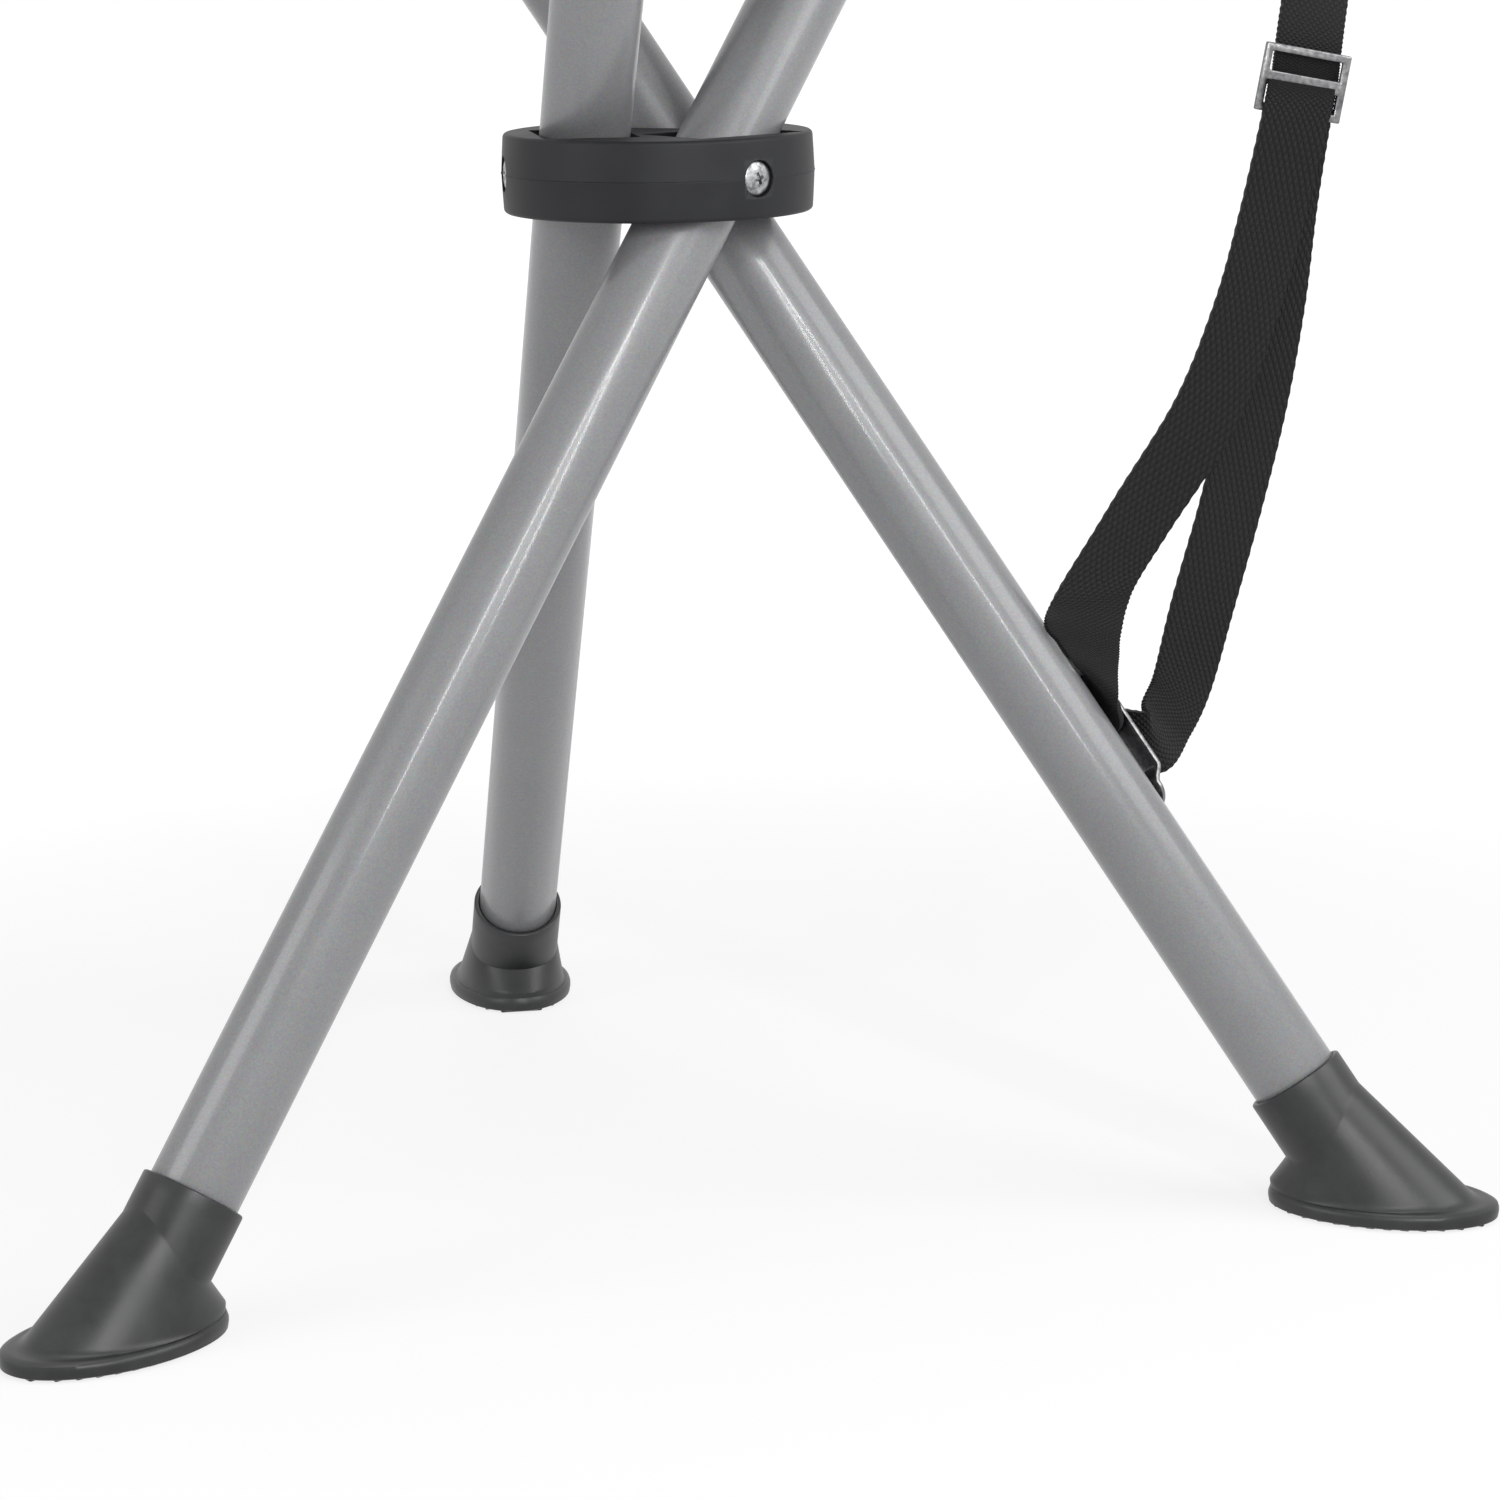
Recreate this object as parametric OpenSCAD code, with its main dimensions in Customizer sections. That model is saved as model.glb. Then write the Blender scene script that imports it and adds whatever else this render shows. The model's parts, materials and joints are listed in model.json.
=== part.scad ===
// Folding camping stool, built up in millimetres, standing on z = 0 in its open pose.
// Each leg is drawn in a frame of its own: x away from the hub along its pivot screw, y sideways, z up.

/* [Tubes] */
// outside diameter of the leg tubes
tube_d = 25; // [19:0.5:28]
// wall of the leg tubes
tube_wall = 1.2; // [0.8:0.1:2]
// length along the leg from the pivot to the ground
low_len = 354; // [300:1:420]
// length along the leg from the pivot to the end of the tube
top_len = 270; // [230:1:320]
// tilt of the legs when the stool stands open
open_tilt = 35.3; // [30:0.1:38]
// bearing of the first pivot screw
first_pivot = -49.6; // [-90:0.1:90]

/* [Hub] */
// wall between the slots and the outside of the hub
hub_rim = 9; // [8:0.5:14]
// height of the hub
hub_h = 22; // [18:0.5:26]
// distance from the middle of the hub to the near side of each tube
hub_core = 9; // [8.5:0.1:13]
// gap between a tube and the walls of its slot
slot_gap = 0.5; // [0.3:0.1:1]
// how much narrower the hub is at its faces than at its middle
hub_draft = 0.5; // [0:0.1:1]

/* [Screws] */
// diameter of the screw shanks
screw_d = 5; // [4:0.5:6]
// diameter of the screw heads
head_d = 9.2; // [8:0.2:11]
// height of the screw heads
head_h = 2.6; // [2:0.1:3.5]
// gap all round a shank
screw_gap = 0.05; // [0.02:0.01:0.1]

/* [Feet] */
// length of the sole
sole_len = 65; // [56:1:72]
// width of the sole
sole_w = 40; // [36:0.5:44]
// thickness of the lip round the sole
sole_t = 5.6; // [5:0.1:8]
// pitch of the ribs under the sole
rib_pitch = 4.7; // [4:0.1:7]
// depth of the grooves between the ribs
groove_depth = 1.6; // [1:0.1:2.2]
// wall of the collar that holds the tube
collar_wall = 1.8; // [1.4:0.1:3]
// how far the collar reaches up the leg from the ground
collar_reach = 44.5; // [40:0.5:55]
// height along the leg of the rubber under the tube
foot_floor = 18; // [16:0.5:22]

/* [Seat] */
// how far the corners of the seat stand past the leg axes
corner_reach = 30; // [29:1:36]
// thickness of the seat fabric
seat_t = 1.4; // [1:0.1:3]
// how far the middle of the seat hangs down
seat_sag = 11; // [4:1:20]
// how far each edge bows inwards
edge_bow = 7; // [2:1:14]
// width of the edge bindings
binding_w = 12; // [8:1:18]
// how far the pockets reach down the legs
pocket_len = 46; // [36:1:60]
// wall of the pockets
pocket_wall = 1.4; // [1:0.1:2]
// gap between the pieces of fabric and what they lie against
soft_gap = 0.3; // [0.2:0.05:0.6]

/* [Strap] */
// width of the webbing
strap_w = 20; // [18:0.5:22]
// thickness of the webbing
strap_t = 1.6; // [1.2:0.1:2]
// distance of the bracket from the pivot along the leg
bracket_at = 195; // [180:1:205]
// bearing of the bracket round the tube
bracket_turn = -26; // [-35:1:-15]
// inside height of the bracket over the tube
bracket_rise = 4.2; // [3:0.1:5]

/* [Hidden] */
eps = 0.01;
tube_r = tube_d / 2;
hub_z = low_len * cos(open_tilt);
slot_half = tube_r + slot_gap;
pivot_radius = tube_r + hub_core;
hub_d = 2 * (pivot_radius + slot_half + hub_rim);
hub_bevel = 1.2;
head_seat = hub_d / 2 - hub_bevel;
screw_end = 4.5;
screw_len = head_seat - screw_end;
foot_out = low_len * sin(open_tilt);
tip_out = top_len * sin(open_tilt);
tip_up = top_len * cos(open_tilt);
tip_radius = norm([pivot_radius, tip_out]);
tip_turn = atan2(tip_out, pivot_radius);
foot_turn = atan2(-foot_out, pivot_radius);
foot_radius = norm([pivot_radius, foot_out]);
cap_h = 3;
pocket_top = (tube_r - 1.2) * sin(open_tilt) + 0.8 * cap_h * cos(open_tilt) + soft_gap + pocket_wall;
seat_z = tip_up + pocket_top + soft_gap;
corner_radius = tip_radius + corner_reach;
// bearings of the three feet, for the middle of the footprint
foot_a_dir = first_pivot + foot_turn;
foot_b_dir = foot_a_dir + 120;
foot_c_dir = foot_a_dir + 240;
// how far an oval sole reaches along x and along y when its long axis lies at the bearing d
function reach_x(d) = norm([sole_len / 2 * cos(d), sole_w / 2 * sin(d)]);
function reach_y(d) = norm([sole_len / 2 * sin(d), sole_w / 2 * cos(d)]);
long_a = first_pivot + 90;
long_b = first_pivot + 210;
long_c = first_pivot + 330;
seat_a_dir = first_pivot + tip_turn;
x_max = foot_radius * cos(foot_b_dir) + reach_x(long_b);
x_min = foot_radius * cos(foot_a_dir) - reach_x(long_a);
y_max = foot_radius * sin(foot_c_dir) + reach_y(long_c);
y_low_foot = foot_radius * sin(foot_a_dir) - reach_y(long_a);
y_low_seat = (corner_radius - 6) * sin(seat_a_dir + 240);
y_min = min(y_low_foot, y_low_seat);
mid_x = (x_max + x_min) / 2;
mid_y = (y_max + y_min) / 2;

// puts a shape that is drawn about the middle of the hub where it stands on the ground
module at_hub() {
  translate([-mid_x, -mid_y, hub_z])
    children();
}

// puts a shape into the frame of leg k, upright, with the pivot at the height of the hub
module at_pivot(k) {
  at_hub()
    rotate([0, 0, first_pivot + 120 * k])
      translate([pivot_radius, 0, 0])
        children();
}

// puts a shape into the frame of leg k, tilted with the leg
module at_leg(k) {
  at_pivot(k)
    rotate([-open_tilt, 0, 0])
      children();
}

// side view of the room that a leg sweeps between upright and open
module slot_shape() {
  h = hub_h / 2 + eps;
  foot_of_slope = slot_half * cos(open_tilt) + (h + slot_half * sin(open_tilt)) * tan(open_tilt);
  knee = slot_half * (1 - cos(open_tilt)) / tan(open_tilt) - slot_half * sin(open_tilt);
  rotate([90, 0, 90])
    linear_extrude(height = 2 * slot_half, center = true)
      polygon([
        [-slot_half, h], [foot_of_slope, h], [slot_half, knee],
        [slot_half, -h], [-foot_of_slope, -h], [-slot_half, -knee]
      ]);
}

module hub() {
  r = hub_d / 2;
  h = hub_h / 2;
  face = r - hub_draft;
  round = 0.3 * hub_bevel;
  color("#1b1c1e")
    at_hub()
      difference() {
        rotate_extrude($fn = 96)
          polygon([
            [0, -h], [face - hub_bevel, -h], [face - round, -h + round], [face, -h + hub_bevel],
            [r, 0],
            [face, h - hub_bevel], [face - round, h - round], [face - hub_bevel, h], [0, h]
          ]);
        for (k = [0, 1, 2])
          rotate([0, 0, first_pivot + 120 * k]) {
            translate([pivot_radius, 0, 0])
              slot_shape();
            translate([screw_end - 0.5, 0, 0])
              rotate([0, 90, 0])
                cylinder(d = screw_d + 2 * screw_gap, h = hub_d, $fn = 32);
            translate([head_seat, 0, 0])
              rotate([0, 90, 0])
                cylinder(d = head_d + 1, h = 8, $fn = 40);
          }
      }
}

module pivot_screw(k) {
  color("#b9bbbd")
    at_hub()
      rotate([0, 0, first_pivot + 120 * k])
        translate([head_seat, 0, 0])
          rotate([0, 90, 0])
            difference() {
              union() {
                translate([0, 0, -screw_len])
                  cylinder(d = screw_d, h = screw_len + 0.5, $fn = 32);
                rotate_extrude($fn = 40)
                  polygon([
                    [0, 0], [head_d / 2, 0], [head_d / 2, head_h * 0.45],
                    [head_d * 0.44, head_h * 0.72], [head_d * 0.33, head_h * 0.92], [0, head_h]
                  ]);
              }
              for (a = [0, 90])
                rotate([0, 0, a + 20])
                  translate([-2.4, -0.5, head_h - 1.5])
                    cube([4.8, 1, 3]);
            }
}

module leg_tube(k, holes = []) {
  color("#a9abad")
    at_leg(k)
      difference() {
        translate([0, 0, foot_floor - low_len])
          cylinder(d = tube_d, h = low_len - foot_floor + top_len, $fn = 48);
        translate([0, 0, foot_floor - low_len - 1])
          cylinder(d = tube_d - 2 * tube_wall, h = low_len + top_len, $fn = 48);
        translate([-tube_d, 0, 0])
          rotate([0, 90, 0])
            cylinder(d = screw_d + 2 * screw_gap, h = 2 * tube_d, $fn = 32);
        for (z = holes)
          rotate([0, 0, bracket_turn])
            translate([0, 0, z])
              rotate([0, 90, 0])
                cylinder(d = rivet_d + 2 * screw_gap, h = tube_d, $fn = 24);
      }
}

// rings of points round a foot, each walked round from the toe
foot_steps = 48;
function collar_ring(along, lean, dip) = [
  for (i = [0 : foot_steps - 1])
    let (
      a = 360 * i / foot_steps,
      r = tube_r + collar_wall,
      up = along + lean * cos(a) + dip * cos(2 * a),
      y0 = -r * cos(a)
    )
    [r * sin(a), y0 * cos(open_tilt) + up * sin(open_tilt), up * cos(open_tilt) - y0 * sin(open_tilt)]
];
function sole_ring(in_len, in_w, shift, z) = [
  for (i = [0 : foot_steps - 1])
    let (a = 360 * i / foot_steps)
    [(sole_w / 2 - in_w) * sin(a), shift - (sole_len / 2 - in_len) * cos(a), z]
];

// outside of a foot, from the sole through the lip and the flare to the rim of the collar
module foot_shell() {
  n = foot_steps;
  rim_y = collar_reach * sin(open_tilt);
  rim_z = collar_reach * cos(open_tilt);
  pts = concat(
    sole_ring(1.4, 1.4, 0, 0), sole_ring(0, 0, 0, sole_t - 2.4), sole_ring(0.9, 0.9, 0, sole_t - 0.3),
    sole_ring(2.2, 2, 0.4, sole_t), sole_ring(4, 2.8, 1.3, sole_t + 1.1), sole_ring(9, 4.8, 4.6, 12.5),
    collar_ring(27.8, 3.6, 2.9), collar_ring(collar_reach, 0, 0), [[0, 0, 0], [0, rim_y, rim_z]]
  );
  last = 7;
  sides = [
    for (r = [0 : last - 1]) for (i = [0 : n - 1])
      for (f = [
        [r * n + i, r * n + n + i, r * n + n + (i + 1) % n],
        [r * n + i, r * n + n + (i + 1) % n, r * n + (i + 1) % n]
      ]) f
  ];
  under = [for (i = [0 : n - 1]) [(last + 1) * n, i, (i + 1) % n]];
  rim = [for (i = [0 : n - 1]) [(last + 1) * n + 1, last * n + (i + 1) % n, last * n + i]];
  polyhedron(points = pts, faces = concat(sides, under, rim));
}

module foot(k) {
  half = sole_w / 2 + 1;
  ribs = floor((sole_len - 6) / rib_pitch / 2);
  color("#26272a")
    at_pivot(k)
      translate([0, -foot_out, -hub_z])
        difference() {
          foot_shell();
          rotate([-open_tilt, 0, 0])
            translate([0, 0, foot_floor])
              cylinder(d = tube_d + 2 * screw_gap, h = 60, $fn = 48);
          for (i = [-ribs : ribs])
            translate([-half, i * rib_pitch - 0.9, -1])
              cube([2 * half, 1.8, groove_depth + 1]);
        }
}

module leg_plug(k) {
  inner = tube_r - tube_wall - screw_gap;
  color("#1b1c1e")
    at_leg(k)
      translate([0, 0, top_len])
        rotate_extrude($fn = 48)
          polygon([
            [0, -16], [inner - 0.8, -16], [inner, -15], [inner, 0], [tube_r, 0],
            [tube_r, cap_h * 0.35], [tube_r - 1.2, cap_h * 0.8], [tube_r - 4, cap_h], [0, cap_h]
          ]);
}

// outline of a pocket's flat top, by its bearing from the leg tip; 0 points away from the hub
function pocket_edge(a, d) =
  min(
    corner_reach - 4,
    d / max(0.05, cos(a - 60)),
    d / max(0.05, cos(a + 60)),
    (tube_r - 1.4 + d - corner_reach / 2) / max(0.05, -cos(a))
  );
pocket_steps = 36;
// rings of points from the open lower end to the flat top, shrunk by inset
function pocket_ring(t, inset) = [
  for (i = [0 : pocket_steps - 1])
    let (
      a = 360 * i / pocket_steps,
      r = tube_r + soft_gap + pocket_wall - inset,
      down = t == 0 ? pocket_len : -cap_h * 0.4,
      x = r * sin(a),
      y0 = r * cos(a),
      low = [x, y0 * cos(open_tilt) - down * sin(open_tilt), -y0 * sin(open_tilt) - down * cos(open_tilt)],
      e = pocket_edge(a, corner_reach / 2 - 0.2 - inset),
      bearing = tip_turn - a,
      top = [e * cos(bearing), e * sin(bearing), pocket_top - inset]
    )
    t == 2 ? top : low
];

module seat_pocket(k) {
  n = pocket_steps;
  pts = concat(
    pocket_ring(0, 0), pocket_ring(1, 0), pocket_ring(2, 0), [[0, 0, pocket_top]],
    pocket_ring(0, pocket_wall), pocket_ring(1, pocket_wall), pocket_ring(2, pocket_wall),
    [[0, 0, pocket_top - pocket_wall]]
  );
  m = 3 * n + 1;
  outer = [
    for (r = [0, 1]) for (i = [0 : n - 1])
      for (f = [
        [r * n + i, r * n + (i + 1) % n, r * n + n + (i + 1) % n],
        [r * n + i, r * n + n + (i + 1) % n, r * n + n + i]
      ]) f
  ];
  lid = [for (i = [0 : n - 1]) [2 * n + i, 2 * n + (i + 1) % n, 3 * n]];
  shell = concat(outer, lid);
  foot_rim = [
    for (i = [0 : n - 1])
      for (f = [[i, m + i, m + (i + 1) % n], [i, m + (i + 1) % n, (i + 1) % n]]) f
  ];
  color("#202226")
    at_pivot(k)
      translate([0, tip_out, tip_up])
        polyhedron(
          points = pts,
          faces = concat(shell, [for (f = shell) [f[2] + m, f[1] + m, f[0] + m]], foot_rim)
        );
}

// outline of the seat: u runs from 0 to 3, one unit for each side
function corner(k) = corner_radius * [cos(seat_a_dir + 120 * k), sin(seat_a_dir + 120 * k)];
function side_point(k, t) = corner(k) * (1 - t) + corner(k + 1) * t;
function outline(k, t) =
  let (p = side_point(k, t), b = edge_bow * 4 * t * (1 - t))
  p * (1 - b / norm(p));
function tip(k) = tip_radius * [cos(seat_a_dir + 120 * k), sin(seat_a_dir + 120 * k)];
function off_tip(p, k) = 1 - exp(-pow(max(0, norm(p - tip(k)) - 26) / 48, 2));
function past_tip(p) = max(0, norm(p) - tip_radius) / corner_reach;
function off_tips(p) = off_tip(p, 0) * off_tip(p, 1) * off_tip(p, 2);
function drop(p) = seat_sag * off_tips(p) * (1 - 0.5 * pow(norm(p) / corner_radius, 2));
function seat_height(p) = seat_z - drop(p) * (1 - min(1, past_tip(p)));
side_steps = 16;
rings = 9;
// the rim leaves out the last bit of each corner, which is cut off square
corner_cut = 0.022;
function rim() = [
  for (k = [0, 1, 2]) for (i = [0 : side_steps - 1])
    outline(k, corner_cut + (1 - 2 * corner_cut) * i / (side_steps - 1))
];

// a closed sheet over the whole outline, its lower face low and its upper face high over the seat
module seat_sheet(low, high) {
  edge = rim();
  n = len(edge);
  flat_pts = concat([[0, 0]], [for (r = [1 : rings]) for (p = edge) p * r / rings]);
  m = len(flat_pts);
  bottom = [for (p = flat_pts) [p[0], p[1], seat_height(p) + low]];
  top = [for (p = flat_pts) [p[0], p[1], seat_height(p) + high]];
  fan = [for (i = [0 : n - 1]) [0, 1 + i, 1 + (i + 1) % n]];
  band = [
    for (r = [0 : rings - 2]) for (i = [0 : n - 1])
      for (f = [
        [1 + r * n + i, 1 + (r + 1) * n + i, 1 + (r + 1) * n + (i + 1) % n],
        [1 + r * n + i, 1 + (r + 1) * n + (i + 1) % n, 1 + r * n + (i + 1) % n]
      ]) f
  ];
  skin = concat(fan, band);
  last = 1 + (rings - 1) * n;
  wall = [
    for (i = [0 : n - 1])
      for (f = [
        [last + i, last + m + i, last + m + (i + 1) % n],
        [last + i, last + m + (i + 1) % n, last + (i + 1) % n]
      ]) f
  ];
  polyhedron(
    points = concat(bottom, top),
    faces = concat(
      [for (f = skin) f],
      [for (f = skin) [f[2] + m, f[1] + m, f[0] + m]],
      [for (f = wall) [f[0], f[1], f[2]]]
    )
  );
}

module seat_panel() {
  color("#202226")
    at_hub()
      seat_sheet(0, seat_t);
}

// a band swept along a list of places, each with its sideways and its thickness direction
module sweep(places, w, t) {
  n = len(places);
  pts = [
    for (s = places)
      for (c = [[-1, -1], [1, -1], [1, 1], [-1, 1]])
        s[0] + s[1] * c[0] * w / 2 + s[2] * c[1] * t / 2
  ];
  sides = [
    for (i = [0 : n - 2]) for (j = [0 : 3])
      for (f = [
        [4 * i + j, 4 * i + (j + 1) % 4, 4 * i + 4 + (j + 1) % 4],
        [4 * i + j, 4 * i + 4 + (j + 1) % 4, 4 * i + 4 + j]
      ]) f
  ];
  e = 4 * (n - 1);
  polyhedron(
    points = pts,
    faces = concat(sides, [[0, 2, 1], [0, 3, 2], [e, e + 1, e + 2], [e, e + 2, e + 3]])
  );
}

// binding under the edge of side k, between two pockets
module binding(k) {
  steps = 14;
  from = 0.17;
  places = [
    for (i = [0 : steps])
      let (
        t = from + (1 - 2 * from) * i / steps,
        inward = -side_point(k, 0.5) / norm(side_point(k, 0.5)),
        p = outline(k, t) + inward * (binding_w / 2 + 0.6)
      )
      [[p[0], p[1], seat_height(p) - soft_gap - 1], [inward[0], inward[1], 0], [0, 0, 1]]
  ];
  color("#17181a")
    at_hub()
      sweep(places, binding_w, 1.2);
}

rivet_d = 3;
bracket_t = 1.4;
bracket_w = 15;
rise_len = 42;
bracket_half = 31;
rivet_off = 27.5;
module strap_bracket() {
  r0 = tube_r;
  r1 = tube_r + bracket_rise;
  h = rise_len / 2;
  g = h + 3.2;
  color("#c9cbcc")
    at_leg(1)
      rotate([0, 0, bracket_turn])
        translate([0, 0, -bracket_at])
          difference() {
            rotate([90, 0, 0])
              linear_extrude(height = bracket_w, center = true)
                polygon([
                  [r0, -bracket_half], [r0 + bracket_t, -bracket_half], [r0 + bracket_t, -g],
                  [r1 + bracket_t, -h + 1.5], [r1 + bracket_t, h - 1.5], [r0 + bracket_t, g],
                  [r0 + bracket_t, bracket_half], [r0, bracket_half], [r0, g - 1],
                  [r1, h], [r1, -h], [r0, 1 - g]
                ]);
            for (s = [-1, 1])
              for (y = [-1, 1])
                translate([r0 - 2, y * 9.5 - 5, s * (bracket_half - 3) - 6])
                  cube([8, 10, 12]);
            for (s = [-1, 1])
              translate([0, 0, s * rivet_off])
                rotate([0, 90, 0])
                  cylinder(d = rivet_d + 2 * screw_gap, h = 30, $fn = 24);
          }
}

module bracket_rivet(s) {
  color("#b9bbbd")
    at_leg(1)
      rotate([0, 0, bracket_turn])
        translate([tube_r, 0, s * rivet_off - bracket_at])
          rotate([0, 90, 0]) {
            translate([0, 0, -tube_wall - 1.5])
              cylinder(d = rivet_d, h = tube_wall + 1.5 + bracket_t + 0.5, $fn = 24);
            translate([0, 0, bracket_t])
              rotate_extrude($fn = 28)
                polygon([[0, 0], [2.9, 0], [2.6, 0.8], [1.8, 1.4], [0, 1.7]]);
          }
}

// a place on the strap: the places below hold for a bracket at this distance, and grow with it
strap_drawn_at = 195;
function strap_point(p) = p * bracket_at / strap_drawn_at;
// one point of a smooth curve through four places in turn
function between(a, b, c, d, t) =
  0.5 * (2 * b + (c - a) * t + (2 * a - 5 * b + 4 * c - d) * t * t + (3 * b - a - 3 * c + d) * t * t * t);
function through(l, steps) =
  let (n = len(l))
  [
    for (i = [0 : n - 2]) for (s = [0 : steps - 1])
      between(l[max(0, i - 1)], l[i], l[i + 1], l[min(n - 1, i + 2)], s / steps),
    l[n - 1]
  ];
function unit(v) = v / norm(v);
// turns the middle line and the sideways directions of a band into places for the sweep
function band_places(mids, ways, steps) =
  let (m = through(mids, steps), w = through(ways, steps), n = len(m))
  [
    for (i = [0 : n - 1])
      let (
        along = unit(m[min(n - 1, i + 1)] - m[max(0, i - 1)]),
        side = unit(w[i] - (w[i] * along) * along)
      )
      [m[i], side, cross(along, side)]
  ];

// a place round leg k: out from the tube axis, bearing round it, down from the pivot
function on_leg(k, out, turn, down) =
  let (
    x = out * cos(turn),
    y0 = out * sin(turn),
    y = y0 * cos(open_tilt) - down * sin(open_tilt),
    z = -y0 * sin(open_tilt) - down * cos(open_tilt),
    d = first_pivot + 120 * k
  )
  [(pivot_radius + x) * cos(d) - y * sin(d), (pivot_radius + x) * sin(d) + y * cos(d), z];
leg_b_down = unit(on_leg(1, 0, 0, 10) - on_leg(1, 0, 0, 0));

module strap_lower() {
  a = bracket_at;
  t = bracket_turn;
  slot = tube_r + bracket_rise * 0.53;
  over = tube_r + bracket_rise + bracket_t + strap_t / 2 + soft_gap;
  front = [
    [180.1, 11.9, 21], [178.6, 11.6, 12.7], [172.5, 12.8, -15.2], [165.2, 12, -42.4], [153.7, 9, -71.1],
    [135.5, 4, -99], [121.6, -2, -122]
  ];
  turn = [
    on_leg(1, slot + 5.8, t - 54, a - 12.5), on_leg(1, slot + 0.2, t - 17, a - 4),
    on_leg(1, slot + 0.2, t + 12, a + 1), on_leg(1, slot + 3.3, t + 37, a + 4),
    on_leg(1, over + 1.3, t + 45, a + 8), on_leg(1, over + 3.2, t + 26, a + 9)
  ];
  back = [
    [148.1, 10, -148.8], [153.9, 12, -126.9], [162.1, 15, -97.9],
    [168.8, 17, -69.1], [173.3, 17.5, -40.4], [176.3, 17, -12.1], [179.7, 16, 12.7], [181.2, 16, 21]
  ];
  mids = concat([for (p = front) strap_point(p)], turn, [for (p = back) strap_point(p)]);
  ways = [
    [19.1, 5, -4], [19.1, 5, -3.4], [17.3, 6, -8.1], [17.9, 6, -6.4], [17.7, 4.6, -8.2],
    [16.2, 6, -8.8], [17, 5, -9],
    20 * leg_b_down, 20 * leg_b_down, 20 * leg_b_down,
    20 * leg_b_down, 20 * leg_b_down, 20 * leg_b_down,
    [16, 8, -8], [18, 7, -4], [18.3, 7.6, -2.5],
    [18.8, 6.5, -1.7], [19.3, 5, -2], [18.9, 5, -3], [19.4, 5, -3.6], [19.4, 5, -3.8]
  ];
  color("#2b2c2e")
    at_hub()
      sweep(band_places(mids, ways, 5), strap_w, strap_t);
}

slider_at = [180.6, 14.1, 20];
module strap_slider() {
  color("#c9cbcc")
    at_hub()
      translate(strap_point(slider_at))
        rotate([0, 11, 14.7])
          difference() {
            cube([strap_w + 6, 1.6, 19], center = true);
            for (z = [-4.6, 4.6])
              translate([0, 0, z])
                cube([strap_w + 1.4, 6, 5.4], center = true);
          }
}

module strap_upper() {
  face = tube_r + soft_gap + pocket_wall + soft_gap + strap_t / 2;
  outward = [cos(seat_a_dir), sin(seat_a_dir), 0];
  across = [-sin(seat_a_dir), cos(seat_a_dir), 0];
  t = [tip(0)[0], tip(0)[1], tip_up];
  rising = [[181.4, 16, 22.5], [183.6, 19.6, 38], [191, 40, 74], [197, 70, 122], [194, 97, 167]];
  bend = [
    t + 60 * outward + [2, 0, -16], t + 50 * outward + [0, 0, -3], t + 36 * outward + [0, 0, 1.5],
    on_leg(0, face + 2.4, 90, 4 - top_len), on_leg(0, face, 90, 14 - top_len), on_leg(0, face, 90, 40 - top_len)
  ];
  mids = concat([for (p = rising) strap_point(p)], bend);
  ways = [
    [19.4, 5, -3.8], [19, 6, -3.6], [16, 10, -3], [12, 15, -1], [3, 19, 0],
    20 * across, 20 * across, 20 * across,
    20 * across, 20 * across, 20 * across
  ];
  color("#2b2c2e")
    at_hub()
      sweep(band_places(mids, ways, 5), strap_w, strap_t);
}

module pivot_screw_a() { pivot_screw(0); }
module pivot_screw_b() { pivot_screw(1); }
module pivot_screw_c() { pivot_screw(2); }
module leg_tube_a() { leg_tube(0); }
module leg_tube_b() { leg_tube(1, [-bracket_at - rivet_off, -bracket_at + rivet_off]); }
module leg_tube_c() { leg_tube(2); }
module foot_a() { foot(0); }
module foot_b() { foot(1); }
module foot_c() { foot(2); }
module leg_plug_a() { leg_plug(0); }
module leg_plug_b() { leg_plug(1); }
module leg_plug_c() { leg_plug(2); }
module seat_pocket_a() { seat_pocket(0); }
module seat_pocket_b() { seat_pocket(1); }
module seat_pocket_c() { seat_pocket(2); }
module binding_ab() { binding(0); }
module binding_bc() { binding(1); }
module binding_ca() { binding(2); }
module bracket_rivet_upper() { bracket_rivet(1); }
module bracket_rivet_lower() { bracket_rivet(-1); }

hub();
pivot_screw_a();
pivot_screw_b();
pivot_screw_c();
leg_tube_a();
leg_tube_b();
leg_tube_c();
foot_a();
foot_b();
foot_c();
leg_plug_a();
leg_plug_b();
leg_plug_c();
seat_pocket_a();
seat_pocket_b();
seat_pocket_c();
seat_panel();
binding_ab();
binding_bc();
binding_ca();
strap_bracket();
bracket_rivet_upper();
bracket_rivet_lower();
strap_lower();
strap_slider();
strap_upper();
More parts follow.
